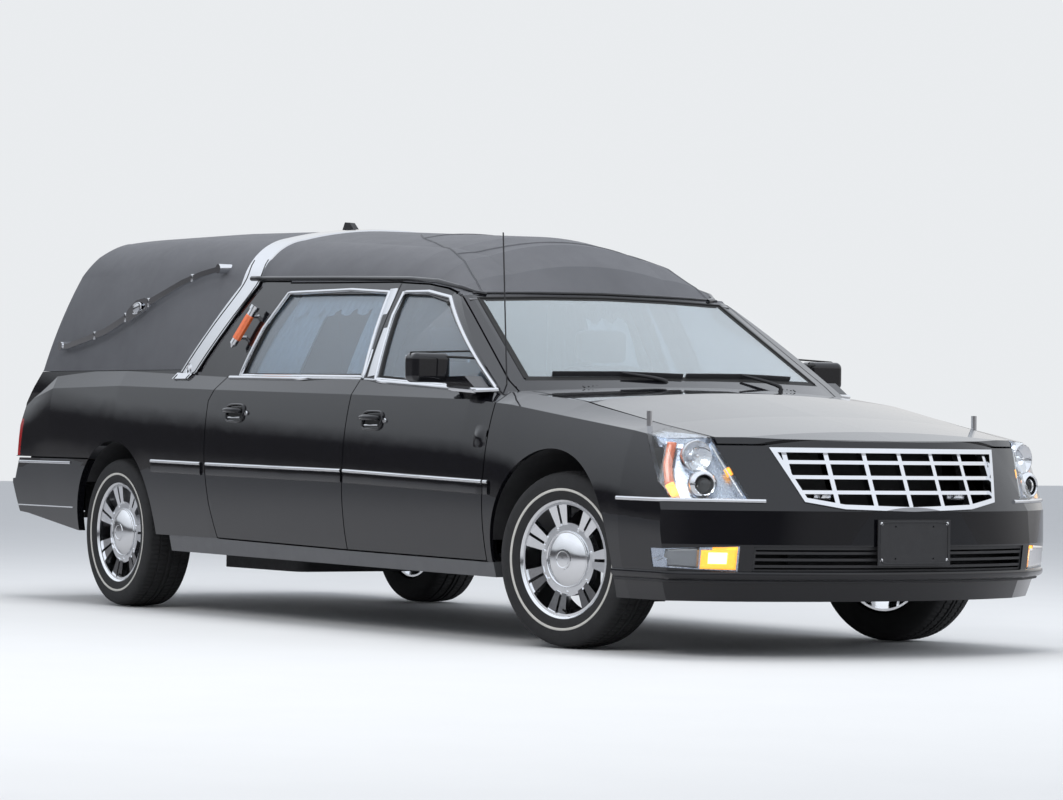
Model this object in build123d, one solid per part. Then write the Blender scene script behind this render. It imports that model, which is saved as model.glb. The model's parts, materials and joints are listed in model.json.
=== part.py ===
from build123d import *
import math
import os

# A hearse on a stretched saloon chassis. Millimetres; +X forward, +Y to the vehicle's left, +Z up,
# origin on the ground under the middle of its length. The right half is drawn and the left mirrored.

# Overall sizes
LENGTH = 6120.0
WHEELBASE = 3800.0
FRONT_OVERHANG = 1110.0
TRACK_FRONT = 1575.0
TRACK_REAR = 1582.0
FRONT_X = LENGTH / 2 - FRONT_OVERHANG
REAR_X = FRONT_X - WHEELBASE
AXLE_Z = 347.0

# Wheels
TYRE_R = 347.0
RIM_R = 222.0
RIM_FLANGE_R = 231.0
RIM_W = 190.0
HUB_R = 142.0
CAP_R = 108.0
SPOKES = 7
BLADE_TURN = 7.4
STEER_REST = 13.9
KINGPIN_Y = 718.0
ARCH_FRONT_R = 430.0
ARCH_REAR_R = 425.0
ARCH_INNER_Y = 450.0

# Walls and clearances
SKIN = 18.0
DOOR_T = 62.0
PANEL_T = 40.0
GLASS_OUT = 12.0
GLASS_IN = 18.0
GAP = 7.0
SHEAR = 0.25
SKIN_Y = 900.0

# Lower body sections: x, sill y z, widest y z, shoulder y z, top edge y z, crown z
BODY = [
    (-3120, 815, 215, 896, 640, 850, 920, 816, 1000, 1050),
    (-2600, 850, 215, 915, 680, 885, 1020, 850, 1100, 1130),
    (-1850, 880, 215, 940, 700, 902, 1030, 862, 1100, 1130),
    (-880, 892, 215, 948, 700, 908, 1010, 868, 1068, 1100),
    (355, 892, 215, 948, 700, 905, 988, 866, 1050, 1082),
    (1300, 890, 215, 944, 690, 898, 968, 862, 1010, 1050),
    (1600, 888, 215, 942, 680, 890, 948, 800, 992, 1030),
    (1950, 885, 215, 938, 660, 880, 908, 748, 962, 1004),
    (2450, 875, 215, 928, 630, 866, 852, 738, 876, 914),
    (2800, 850, 215, 902, 600, 842, 800, 700, 822, 856),
    (3060, 810, 215, 866, 560, 800, 738, 650, 758, 790),
]

# Greenhouse sections: x, base y, side y z, drip y z, roof edge y z, roof y z, crown z
CABIN = [
    (-3120, 868, 805, 1330, 715, 1560, 640, 1668, 480, 1732, 1773),
    (-1850, 868, 805, 1330, 715, 1560, 640, 1664, 480, 1730, 1773),
    (-1000, 866, 788, 1290, 690, 1520, 612, 1625, 450, 1702, 1757),
    (-144, 864, 780, 1240, 668, 1488, 596, 1588, 430, 1652, 1712),
    (400, 862, 778, 1230, 662, 1470, 590, 1556, 420, 1620, 1684),
    (620, 861, 776, 1220, 660, 1452, 580, 1520, 400, 1580, 1642),
    (780, 860, 775, 1210, 655, 1422, 570, 1462, 380, 1500, 1545),
    (890, 860, 775, 1200, 650, 1385, 560, 1392, 370, 1402, 1412),
]

# Tail in plan: z, rear x at the middle, corner start x y, corner x y, corner end x
TAIL = [
    (150, -2980, -2940, 620, -2880, 820, -2740),
    (560, -3060, -3050, 660, -3022, 884, -2900),
    (684, -3060, -3050, 660, -3020, 880, -2900),
    (694, -3052, -3038, 665, -2992, 856, -2840),
    (841, -3045, -3032, 680, -2990, 845, -2850),
    (950, -3022, -3004, 690, -2955, 830, -2800),
    (1030, -3000, -2968, 680, -2900, 800, -2740),
    (1110, -2970, -2925, 650, -2840, 770, -2640),
    (1385, -2880, -2830, 590, -2735, 716, -2560),
    (1565, -2800, -2750, 540, -2680, 652, -2500),
    (1657, -2740, -2690, 500, -2620, 604, -2430),
    (1850, -2500, -2450, 400, -2350, 520, -2200),
]

# Nose in plan: z, front x at the middle, corner start x y, corner x y, corner end x
NOSE = [
    (150, 2950, 2800, 660, 2700, 790, 2540),
    (285, 2990, 2850, 675, 2750, 805, 2590),
    (300, 3042, 2885, 685, 2785, 822, 2630),
    (430, 3060, 2903, 689, 2800, 822, 2640),
    (557, 3060, 2900, 680, 2798, 818, 2640),
    (802, 2954, 2834, 560, 2755, 722, 2540),
    (1100, 2820, 2690, 520, 2600, 690, 2430),
]

# Windscreen in plan: z, x at the middle, corner x y
SCREEN = [(900, 1882, 1669, 786), (1035, 1620, 1451, 743), (1418, 878, 837, 622), (1500, 719, 705, 596)]


def arc(a, b, c):
    return Edge.make_three_point_arc(Vector(*a), Vector(*b), Vector(*c))


def line(a, b):
    return Edge.make_line(Vector(*a), Vector(*b))


def poly_solid(points, reach):
    face = Face(Wire.make_polygon([Vector(*p) for p in points], close=True))
    reach = Vector(*reach)
    if face.normal_at().dot(reach) < 0:
        face = -face
    return Solid.extrude(face, reach)


def side_prism(outline, y0, y1, shear=0.0):
    # Prism from a side view outline (x, z). With shear it leans forward on its way inward,
    # and the outline holds where y is SKIN_Y on the right side.
    points = [(x + shear * (y0 + SKIN_Y), y0, z) for x, z in outline]
    return poly_solid(points, (shear * (y1 - y0), y1 - y0, 0))


def front_prism(outline, x0, x1):
    # Prism from a front view outline (y, z).
    return poly_solid([(x0, y, z) for y, z in outline], (x1 - x0, 0, 0))


def block(x0, x1, y0, y1, z0, z1):
    return Pos((x0 + x1) / 2, (y0 + y1) / 2, (z0 + z1) / 2) * Box(abs(x1 - x0), abs(y1 - y0), abs(z1 - z0))


def rod(a, b, r):
    a, b = Vector(*a), Vector(*b)
    return Solid.make_cylinder(r, (b - a).length, Plane(origin=a, z_dir=b - a))


def crown(x, y, z, top):
    # Half of a crowned arc, from (y, z) on the right to the middle.
    rise = top - z
    r = (y * y + rise * rise) / (2 * rise)
    a = math.asin(y / r) / 2
    return arc((x, -y, z), (x, -r * math.sin(a), top - r + r * math.cos(a)), (x, 0, top))


def body_section(x, sy, sz, wy, wz, hy, hz, ty, tz, cz, t):
    low = sz - t
    return Wire([
        line((x, 0, low), (x, -(sy - t), low)),
        arc((x, -(sy - t), low), (x, -(wy - t), wz), (x, -(hy - t), hz - t / 2)),
        line((x, -(hy - t), hz - t / 2), (x, -(ty - t), tz - t)),
        crown(x, ty - t, tz - t, cz - t),
        line((x, 0, cz - t), (x, 0, low)),
    ])


def cabin_section(x, by, my, mz, dy, dz, ey, ez, ry, rz, cz, t):
    low, bz = 900.0, 1000.0
    return Wire([
        line((x, 0, low), (x, -(by - t), low)),
        line((x, -(by - t), low), (x, -(by - t), bz)),
        arc((x, -(by - t), bz), (x, -(my - t), mz), (x, -(dy - t), dz - t / 3)),
        arc((x, -(dy - t), dz - t / 3), (x, -(ey - t * 0.7), ez - t * 0.7), (x, -(ry - t / 3), rz - t)),
        crown(x, ry - t / 3, rz - t, cz - t),
        line((x, 0, cz - t), (x, 0, low)),
    ])


def end_section(z, x_mid, x_corner, y_corner, x_arc, y_arc, x_side, x_back):
    # Plan of the right half at one end, from the middle of the end face round the corner.
    depth = x_corner - x_mid
    r = (y_corner ** 2 + depth ** 2) / (2 * abs(depth))
    a = math.asin(y_corner / r) / 2
    bow = math.copysign(r - r * math.cos(a), depth)
    return Wire([
        arc((x_mid, 0, z), (x_mid + bow, -r * math.sin(a), z), (x_corner, -y_corner, z)),
        arc((x_corner, -y_corner, z), (x_arc, -y_arc, z), (x_side, -975, z)),
        line((x_side, -975, z), (x_side, -1200, z)),
        line((x_side, -1200, z), (x_back, -1200, z)),
        line((x_back, -1200, z), (x_back, 0, z)),
        line((x_back, 0, z), (x_mid, 0, z)),
    ])


def tail(t):
    return Solid.make_loft([end_section(z, a + t, b + t, c - t / 3, d + t * 0.7, e - t * 0.7, f + t, 3500)
                            for z, a, b, c, d, e, f in TAIL], ruled=True)


def nose(t):
    low = Solid.make_loft([end_section(z, a - t, b - t, c - t / 3, d - t * 0.7, e - t * 0.7, f - t, -3500)
                           for z, a, b, c, d, e, f in NOSE], ruled=True)
    return low + block(-3500, 2400, -1200, 0, NOSE[-1][0], 1950)


def screen(t):
    wires = []
    for z, x_mid, x_side, y_side in SCREEN:
        depth = x_mid - x_side
        r = (y_side ** 2 + depth ** 2) / (2 * depth)
        a = math.asin(y_side / r) / 2
        x_end = x_side - (1000 - y_side) * 0.45
        wires.append(Wire([
            arc((x_mid - t, 0, z), (x_mid - t - r + r * math.cos(a), -r * math.sin(a), z), (x_side - t, -y_side, z)),
            line((x_side - t, -y_side, z), (x_end - t, -1000, z)),
            line((x_end - t, -1000, z), (300, -1000, z)),
            line((300, -1000, z), (300, 0, z)),
            line((300, 0, z), (x_mid - t, 0, z)),
        ]))
    return Solid.make_loft(wires, ruled=True)


def front_cabin(t):
    wires = []
    for x in (300.0, 1800.0):
        by, my, dy, top = 861 - t, 778 - t, 660 - t, 1425.0 - t
        wires.append(Wire([
            line((x, 0, 900), (x, -by, 900)),
            arc((x, -by, 900), (x, -my, 1215), (x, -dy, top - 10)),
            crown(x, dy, top - 10, top + 2),
            line((x, 0, top + 2), (x, 0, 900)),
        ]))
    return Solid.make_loft(wires, ruled=True)


made = {}


def hull(t):
    # The right half of the whole body's outside, moved inward by t all round.
    if t not in made:
        low = Solid.make_loft([body_section(*row, t) for row in BODY], ruled=True)
        high = Solid.make_loft([cabin_section(*row, t) for row in CABIN], ruled=True)
        cab = front_cabin(t) & screen(t)
        made[t] = ((low + high + cab) & tail(t)) & nose(t)
    return made[t]


def wall(region, t0, t1):
    return (region & hull(t0)) - hull(t1)


def both(solid):
    # The solid and its mirror image: fused where they meet in the middle, else a pair.
    other = mirror(solid, Plane.XZ)
    if solid.bounding_box().max.Y > -0.01:
        return solid + other
    return Compound(children=[solid, other])


def largest(shape):
    # Without the slivers that a cut can leave at a corner.
    return max(shape.solids(), key=lambda solid: solid.volume)


def arch(x, r, y0, y1):
    return rod((x, y0, AXLE_Z), (x, y1, AXLE_Z), r)


# Door outlines in side view, at the right side's skin
FRONT_DOOR = [(369, 336), (369, 700), (350, 1055), (318, 1320), (296, 1464), (520, 1452), (660, 1432),
              (790, 1398), (1466, 1004), (1484, 962), (1490, 700), (1480, 326)]
REAR_DOOR = [(-801, 352), (-848, 505), (-890, 727), (-914, 960), (-842, 1063), (-806, 1086), (-648, 1484),
             (-150, 1474),
             (289, 1466), (311, 1320), (343, 1055), (362, 700), (362, 336)]
FRONT_HINGE = (1420.0, -915.0)
REAR_HINGE = (303.0, -920.0)
BACK_HINGE = (-3022.0, 572.0)
HINGE_Z = (470.0, 820.0)
BACK_HINGE_Z = (660.0, 940.0)
HINGE_PIN_R = 6.0
HINGE_CLEAR = 0.05
POST_IN = 125.0
POST_T = 40.0
BACK_POST_IN = 140.0


def grown(outline, d):
    # The outline moved outward by d, for the gap round a door.
    n = len(outline)
    area = sum(outline[i][0] * outline[(i + 1) % n][1] - outline[(i + 1) % n][0] * outline[i][1] for i in range(n))
    s = math.copysign(1.0, area)
    out = []
    for i in range(n):
        (ax, az), (bx, bz), (cx, cz) = outline[i - 1], outline[i], outline[(i + 1) % n]
        ux, uz = bx - ax, bz - az
        vx, vz = cx - bx, cz - bz
        ul, vl = math.hypot(ux, uz), math.hypot(vx, vz)
        n1 = (s * uz / ul, -s * ux / ul)
        n2 = (s * vz / vl, -s * vx / vl)
        k = d / (1 + n1[0] * n2[0] + n1[1] * n2[1])
        out.append((bx + k * (n1[0] + n2[0]), bz + k * (n1[1] + n2[1])))
    return out


FRONT_WINDOW = [(452, 1062), (352, 1416), (560, 1408), (716, 1376), (1400, 1010)]
REAR_WINDOW = [(-744, 1078), (-630, 1434), (-100, 1428), (222, 1420), (312, 1068)]


# What lies inboard of the front door at the windscreen pillar, in front view
PILLAR_INNER = [(-780, 850), (-780, 1046), (-660, 1396), (-640, 1500), (-500, 1500), (-500, 850)]


def door_prism(outline):
    return side_prism(outline, -1100, -560, SHEAR)


front_door_space = door_prism(grown(FRONT_DOOR, GAP)) - front_prism(PILLAR_INNER, 800, 1700)
rear_door_space = door_prism(grown(REAR_DOOR, GAP))
door_spaces = front_door_space + rear_door_space

# right: made again mirrored on the left. half: fused with its mirror image. whole: kept as made.
right = {}
half = {}
whole = {}
arch_space = arch(FRONT_X, ARCH_FRONT_R, -1100, -ARCH_INNER_Y) + arch(REAR_X, ARCH_REAR_R, -1100, -640)


def hinge_pocket(x, y):
    cuts = [block(x - 15, x + 90, y - 11, y + 140, z - 24, z + 24) for z in HINGE_Z]
    return cuts[0] + cuts[1]


def hinge_pins(x, y, heights=HINGE_Z):
    pins = [rod((x, y, z - 25), (x, y, z + 25), HINGE_PIN_R) for z in heights]
    return pins[0] + pins[1]


def hinge_arms(x, y):
    arms = [block(x - 8, x + 8, y, y + POST_IN + 1, z - 18, z + 18) + rod((x, y, z - 18), (x, y, z + 18), 10)
            for z in HINGE_Z]
    return (arms[0] + arms[1]) - rod((x, y, 200), (x, y, 1100), HINGE_PIN_R + HINGE_CLEAR)


# Doors
pillar_side = front_prism([(y - GAP, z) for y, z in PILLAR_INNER], 800 - GAP, 1700)
front_door = (wall(door_prism(FRONT_DOOR), 0, DOOR_T) - door_prism(FRONT_WINDOW)) - pillar_side
rear_door = (wall(door_prism(REAR_DOOR), 0, DOOR_T) - front_door_space) - door_prism(REAR_WINDOW)
right["front_door"] = (front_door - hinge_pocket(*FRONT_HINGE)) + hinge_pins(*FRONT_HINGE)
right["rear_door"] = (rear_door - hinge_pocket(*REAR_HINGE)) + hinge_pins(*REAR_HINGE)
right["front_door_glass"] = wall(door_prism(FRONT_WINDOW), GLASS_OUT, GLASS_IN) - pillar_side
right["rear_door_glass"] = wall(door_prism(REAR_WINDOW), GLASS_OUT, GLASS_IN)

# Mirror on the front door
mirror_head = Pos(1110, -985, 1095) * fillet(Box(95, 175, 120).edges(), 26)
mirror_foot = side_prism([(1130, 1060), (1300, 1062), (1400, 1004), (1360, 985), (1180, 1010)], -925, -845)
right["front_door"] += (mirror_head + mirror_foot) - hull(0)

# Hood, cowl and windscreen
HOOD = [(1530, -740), (2033, -748), (2450, -732), (2776, -700), (2896, -330), (2938, 0)]
HOOD_LOW = 806.0
HOOD_REAR_MID = (1690, 0)


def hood_prism(d):
    low = HOOD_LOW - d
    right_edge = [(x - (d if x == HOOD[0][0] else 0), y - d, low) for x, y in HOOD[:4]]
    shoulder = (HOOD[4][0] + d, HOOD[4][1], low)
    tip = (HOOD[5][0] + d, 0, low)
    left_edge = [(x, -y, z) for x, y, z in right_edge]
    edges = [line(a, b) for a, b in zip(right_edge, right_edge[1:])]
    edges.append(arc(right_edge[-1], shoulder, tip))
    edges.append(arc(tip, (shoulder[0], -shoulder[1], low), left_edge[-1]))
    edges += [line(a, b) for a, b in zip(left_edge[::-1], left_edge[-2::-1])]
    edges.append(arc(left_edge[0], (HOOD_REAR_MID[0] - d, 0, low), right_edge[0]))
    return Solid.extrude(Face(Wire(edges)), Vector(0, 0, 500))


# Hood hinges: a gooseneck arm under each rear corner turns on a pin in a pocket under the cowl's skin
HOOD_HINGE = (1500.0, 990.0)
HOOD_ARM_Y = -665.0
HOOD_PIN_R = 5.0
HOOD_ARM = [(1494, 983), (1544, 938), (1566, 938), (1612, 992), (1592, 992), (1562, 954), (1552, 952), (1507, 997)]


def hood_cross(r, reach):
    x, z = HOOD_HINGE
    return rod((x, HOOD_ARM_Y - reach, z), (x, HOOD_ARM_Y + reach, z), r)


hood_arm = side_prism(HOOD_ARM, HOOD_ARM_Y - 6, HOOD_ARM_Y + 6) + hood_cross(9, 6)
hood_space = hood_prism(GAP)
half["hood"] = wall(hood_prism(0), 0, SKIN) + (hood_arm - hood_cross(HOOD_PIN_R + HINGE_CLEAR, 20))

SCREEN_OPENING = [(-726, 1046), (-612, 1396), (-300, 1406), (0, 1410), (100, 1410), (100, 1056), (0, 1056),
                  (-300, 1054)]
screen_space = front_prism(SCREEN_OPENING, 700, 2100)
half["windscreen"] = wall(screen_space, 6, 12)
HEADER = [(-1000, 1376), (-622, 1406), (-300, 1416), (0, 1420), (100, 1420)]
above_header = front_prism(HEADER + [(100, 1900), (-1000, 1900)], 600, 1400)
below_header = front_prism(HEADER + [(100, 1000), (-1000, 1000)], 770, 1400)
cowl_region = side_prism([(1380, 700), (1380, 985), (1500, 1015), (1640, 1046), (1900, 1046), (1900, 700)], -770, 0)
frame_region = side_prism([(760, 1350), (760, 1500), (1000, 1500), (1900, 1100), (1900, 1000), (1490, 1000),
                           (1380, 1020)], -1100, 0)
frame = wall(frame_region, 0, DOOR_T) - screen_space - above_header - door_spaces - hood_space
door_swing = rod((FRONT_HINGE[0], FRONT_HINGE[1], 990), (FRONT_HINGE[0], FRONT_HINGE[1], 1022), 144)
half["screen_frame"] = (frame - cowl_region) - door_swing
cowl = wall(cowl_region, 0, PANEL_T) - hood_space - screen_space
hinge_well = block(HOOD_HINGE[0] - 16, HOOD_HINGE[0] + 100, HOOD_ARM_Y - 18, HOOD_ARM_Y + 18, 900, HOOD_HINGE[1] + 12)
hinge_ear = block(HOOD_HINGE[0] - 10, HOOD_HINGE[0] + 10, HOOD_ARM_Y - 40, HOOD_ARM_Y - 17, 984, 1006)
half["cowl"] = (cowl - hinge_well) + hinge_ear + (hood_cross(HOOD_PIN_R, 26) - block(1400, 1600, -647, -600, 900, 1100))

# Front end
FENDER = [(1400, 322), (1600, 322), (1700, 420), (2436, 597), (2725, 597), (2518, 856), (2482, 1100), (1400, 1100)]
fender_region = side_prism(FENDER, -1100, -300)
LAMP = [(-640, 597), (-712, 815), (-712, 905), (-1000, 905), (-1000, 597)]
lamp_space = front_prism(LAMP, 2400, 3200) - fender_region
GRILLE = [(100, 557), (0, 557), (-300, 566), (-450, 592), (-530, 794), (100, 794)]
grille_space = front_prism(GRILLE, 2700, 3200)
GRILLE_INSIDE = [(100, 574), (0, 574), (-296, 583), (-438, 607), (-504, 776), (100, 776)]
inner_grille = front_prism(GRILLE_INSIDE, 2700, 3200)
LOWER_GRILLE = [(-640, 326), (-640, 424), (100, 424), (100, 326)]
lower_grille_space = front_prism(LOWER_GRILLE, 2700, 3200)
FOG = [(-686, 330), (-686, 424), (-930, 412), (-930, 343)]
fog_space = front_prism(FOG, 2640, 3200)

hinge_sweep = rod((FRONT_HINGE[0], FRONT_HINGE[1], 300), (FRONT_HINGE[0], FRONT_HINGE[1], 1100), 75)
fender = wall(fender_region, 0, 3) + (wall(fender_region, 3, SKIN) - hinge_sweep)
fender = fender - door_spaces - hood_space - arch_space - block(1300, 1700, -780, 0, 1000, 1600)
right["fender"] = fender - cowl_region - half["screen_frame"]

bumper_region = side_prism([(2300, 200), (3100, 200), (3100, 900), (2511, 900), (2518, 856), (2725, 597),
                            (2436, 597), (2300, 597)], -1100, 0)
bumper = wall(bumper_region, 0, SKIN) - hood_space - grille_space - lower_grille_space
half["front_bumper"] = largest(bumper - lamp_space - fog_space - arch_space - right["fender"])
half["headlamps"] = wall(lamp_space, 3, DOOR_T) - hood_space
half["headlamp_lenses"] = wall(lamp_space, 0, 3) - hood_space
half["fog_lamps"] = wall(fog_space, 3, PANEL_T)

BAR_PITCH = 158.0
BAR_HALF = 9.0
bars = [front_prism([(k * BAR_PITCH - BAR_HALF, 540), (k * BAR_PITCH - BAR_HALF, 820),
                     (k * BAR_PITCH + BAR_HALF, 820), (k * BAR_PITCH + BAR_HALF, 540)], 2700, 3200)
        for k in (-3, -2, -1, 0)]
rows = [front_prism([(-560, z - 7), (-560, z + 7), (100, z + 7), (100, z - 7)], 2700, 3200)
        for z in (628, 684, 740)]
lattice = bars[0] + bars[1] + bars[2] + bars[3] + rows[0] + rows[1] + rows[2]
half["grille"] = wall(lattice & inner_grille, 6, PANEL_T) + wall(grille_space - inner_grille, -7, PANEL_T)
strips = [front_prism([(-640, z - 5), (-640, z + 5), (100, z + 5), (100, z - 5)], 2700, 3200)
          for z in (350, 375, 400)]
rim_cut = front_prism([(-628, 338), (-628, 412), (100, 412), (100, 338)], 2700, 3200)
half["lower_grille"] = wall(strips[0] + strips[1] + strips[2] + (lower_grille_space - rim_cut), 6, PANEL_T)
plate = block(3062, 3068, -170, 170, 353, 527) + block(3060.3, 3062.5, -40, 40, 432, 520)
for y in (-89, 89):
    for z in (380, 500.7):
        plate -= rod((3055, y, z), (3075, y, z), 3.5)
whole["plate_bracket"] = plate
half["flag_holders"] = (rod((2428, -782, 845), (2428, -782, 926), 11)
                        - rod((2428, -782, 880), (2428, -782, 940), 7)) - hull(0)

# Sills and door posts
SILL_IN = 785.0
SILL = [(-1298, 349), (-851, 349), (1519, 321), (1519, 260), (-1298, 278)]
half["sills"] = ((side_prism(SILL, -1000, -SILL_IN) & hull(6)) - door_spaces) - arch_space
post_y = FRONT_HINGE[1] + POST_IN
a_post = block(FRONT_HINGE[0] - 30, FRONT_HINGE[0] + 70, post_y, post_y + POST_T, 318, 905)
a_post = (a_post + hinge_arms(*FRONT_HINGE)) - half["sills"]
post_y = REAR_HINGE[1] + POST_IN
b_post = block(REAR_HINGE[0] - 20, REAR_HINGE[0] + 100, post_y, post_y + POST_T, 334, 960)
b_top = front_prism([(post_y, 900), (post_y + 15, 985), (-575, 1440), (-555, 1490), (-525, 1590), (-485, 1590),
                     (-515, 1480), (post_y + POST_T, 985), (post_y + POST_T, 900)], 250, 340)
b_post = (b_post + hinge_arms(*REAR_HINGE) + b_top) - half["sills"]

# Tail: quarters, lamps, bumper and the back door, which hangs on the left
QUARTER = [(-760, 349), (-700, 1066), (-1329, 1102), (-3100, 1102), (-3100, 690), (-2108, 690), (-2108, 349)]
TAIL_LAMP = [(-640, 694), (-1000, 694), (-1000, 872), (-640, 872)]
tail_lamp_space = front_prism(TAIL_LAMP, -3200, -2925)
BACK_DOOR = [(-632, 590), (-634, 1000), (-610, 1110), (-545, 1385), (-500, 1565), (-470, 1612), (470, 1612),
             (500, 1565), (545, 1385), (610, 1110), (634, 1000), (632, 590)]
BACK_SHEAR = {-1: 0.45, 1: 0.15}


def back_prism(outline):
    # Prism through the tail, its sides leaning left as it goes forward. It holds where x is -3000.
    ends = [Wire.make_polygon([Vector(x, y + BACK_SHEAR[1 if y > 0 else -1] * (x + 3000), z) for y, z in outline],
                              close=True) for x in (-3250, -2050)]
    return Solid.make_loft(ends, ruled=True)


back_space = back_prism(grown(BACK_DOOR, GAP))
quarter = (wall(side_prism(QUARTER, -1100, -300), 0, PANEL_T) - door_spaces) - arch_space
tail_lamp = wall(tail_lamp_space, 0, PANEL_T)
quarter = quarter - tail_lamp_space
whole["quarter_right"] = quarter - back_space
whole["quarter_left"] = mirror(quarter, Plane.XZ) - back_space
whole["tail_lamps"] = both(tail_lamp) - back_space
tail_shell = both(wall(block(-3200, -2050, -1000, 0, 560, 1700), 0, DOOR_T))
BACK_WINDOW = [(-460, 1160), (-400, 1440), (400, 1440), (460, 1160)]
back_door = largest((tail_shell & back_prism(BACK_DOOR)) - front_prism(BACK_WINDOW, -3200, -2300))
hx, hy = BACK_HINGE
for z in BACK_HINGE_Z:
    back_door -= block(hx - 11, hx + 140, hy - 20, hy + 90, z - 24, z + 24)
whole["back_door"] = back_door + hinge_pins(hx, hy, BACK_HINGE_Z)
half["back_glass"] = wall(front_prism(BACK_WINDOW, -3200, -2300), GLASS_OUT, GLASS_IN)
REAR_BUMPER = [(-2108, 330), (-2300, 345), (-2858, 413), (-3100, 430), (-3100, 575), (-2980, 582),
               (-2930, 683), (-2108, 683)]
rear_bumper = wall(side_prism(REAR_BUMPER, -1100, 0), 0, PANEL_T) - arch_space
whole["rear_bumper"] = both(rear_bumper) - back_space
back_post = block(hx + BACK_POST_IN, hx + BACK_POST_IN + POST_T, -900, -hy - 10, 600, 1040) & hull(PANEL_T)
back_arms = [block(hx, hx + BACK_POST_IN + 20, hy - 8, hy + 8, z - 18, z + 18)
             + block(hx + BACK_POST_IN - 14, hx + BACK_POST_IN + 20, hy - 8, hy + 40, z - 18, z + 18)
             + rod((hx, hy, z - 18), (hx, hy, z + 18), 10) for z in BACK_HINGE_Z]
back_arms = (back_arms[0] + back_arms[1]) - rod((hx, hy, 500), (hx, hy, 1100), HINGE_PIN_R + HINGE_CLEAR)
back_posts = both(back_post) + back_arms

# Roof, opera panels, band and landau bars
BAND_MID = [(-1264, 1062), (-1078, 1282), (-930, 1486), (-950, 1601), (-1000, 1850)]
BAND_W = 150.0
band_outline = [(x - BAND_W / 2, z) for x, z in BAND_MID] + [(x + BAND_W / 2, z) for x, z in BAND_MID[::-1]]
OPERA = [(-600, 1068), (-1255, 1068), (-1078, 1282), (-930, 1486), (-930, 1502), (-560, 1500)]
ROOF = [(-3100, 1104), (-1329, 1104), (-1255, 1068), (-1078, 1282), (-930, 1486), (-930, 1502), (-590, 1502),
        (-540, 1400), (900, 1380), (900, 1900), (-3100, 1900)]
roof = wall(side_prism(ROOF, -1100, 0), 0, DOOR_T) - door_spaces - below_header
roof = roof - half["screen_frame"] - quarter
whole["roof"] = both(roof) - back_space
half["opera_panels"] = (wall(side_prism(OPERA, -1100, -500), 6, DOOR_T) - door_spaces) - roof - quarter
whole["door_posts"] = both(a_post + (b_post - roof)) + back_posts
half["roof_band"] = wall(side_prism(band_outline, -1100, 0), -7, 0)
LAMP_LOW = (-826, -846, 1216)
LAMP_TOP = (-752, -786, 1368)
coach_lamp = rod(LAMP_LOW, LAMP_TOP, 17) + rod(LAMP_TOP, (-743, -779, 1386), 21)
for x, y, z in ((-812, -835, 1245), (-766, -797, 1340)):
    coach_lamp += rod((x, y, z), (x, y + 90, z), 9)
half["coach_lamps"] = coach_lamp - hull(6)

# Stations along the landau bar: x, y of its middle, z, half height
LANDAU = [(-2541, -866, 1225, 12), (-2466, -868, 1223, 12), (-2281, -861, 1254, 13), (-2091, -850, 1291, 15),
          (-1920, -831, 1352, 15), (-1895, -828, 1364, 30), (-1835, -819, 1394, 37), (-1775, -807, 1412, 30),
          (-1739, -802, 1421, 15), (-1493, -756, 1509, 13), (-1348, -733, 1545, 12), (-1204, -716, 1566, 12)]
bar = Solid.make_loft([Wire.make_polygon([Vector(x, y - 8, z - h), Vector(x, y - 8, z + h), Vector(x, y + 8, z + h),
                                          Vector(x, y + 8, z - h)], close=True) for x, y, z, h in LANDAU], ruled=True)
for x, y, z, h in (LANDAU[0], LANDAU[-1]):
    bar += rod((x, y - 14, z), (x, y + 90, z), 22)
half["landau_bars"] = bar - hull(0)

# Floor, deck and what the cabin holds
FLOOR_T = 16.0
LINER_T = 8.0
FLOOR_LINE = [(1330, 318), (-930, 318), (-1200, 560), (-2420, 560), (-2440, 400), (-2940, 400)]
floor = side_prism(FLOOR_LINE + [(x, z + FLOOR_T) for x, z in FLOOR_LINE[::-1]], -SILL_IN, SILL_IN)
firewall = side_prism([(1325, 318), (1470, 560), (1500, 960), (1516, 960), (1486, 556), (1340, 318)], -748, 748)
rail = block(1345, 2860, 372, 440, 300.3, 400)
cross = block(2820, 2860, -440, 440, 300.3, 400)
whole["floor_pan"] = floor + firewall + rail + mirror(rail, Plane.XZ) + cross
for side in (-1, 1):
    for x, r, y in ((FRONT_X, ARCH_FRONT_R, ARCH_INNER_Y), (REAR_X, ARCH_REAR_R + LINER_T, 628)):
        whole["floor_pan"] -= arch(x, r, min(side * y, side * 900), max(side * y, side * 900))
front_liner = arch(FRONT_X, ARCH_FRONT_R + LINER_T, -930, -442) - arch(FRONT_X, ARCH_FRONT_R, -940, -450)
rear_liner = arch(REAR_X, ARCH_REAR_R + LINER_T, -930, -628) - arch(REAR_X, ARCH_REAR_R, -940, -636)
front_liner = (front_liner - block(1400, 2500, -950, -430, -200, 410)) & hull(SKIN)
rear_liner = (rear_liner - block(-2400, -1300, -950, -600, -200, 576.3)) & hull(PANEL_T)
half["wheel_liners"] = Compound(children=[front_liner, rear_liner])
whole["radiator"] = block(2640, 2690, -420, 420, 400, 770)
DECK_Z = 716.0
DECK_W = 600.0
deck = block(-2820, 150, -DECK_W, DECK_W, DECK_Z - 16, DECK_Z)
for y in (-DECK_W, DECK_W - 14):
    deck += block(-2800, 140, y, y + 14, 576, DECK_Z - 10)
    deck += block(-920, 140, y, y + 14, 334, 600)
deck += block(126, 140, -DECK_W, DECK_W, 334, DECK_Z - 10)
for k in range(8):
    x = -2740 + k * 380
    deck += rod((x, -240, DECK_Z + 6), (x, 240, DECK_Z + 6), 16)
whole["casket_deck"] = deck

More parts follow.
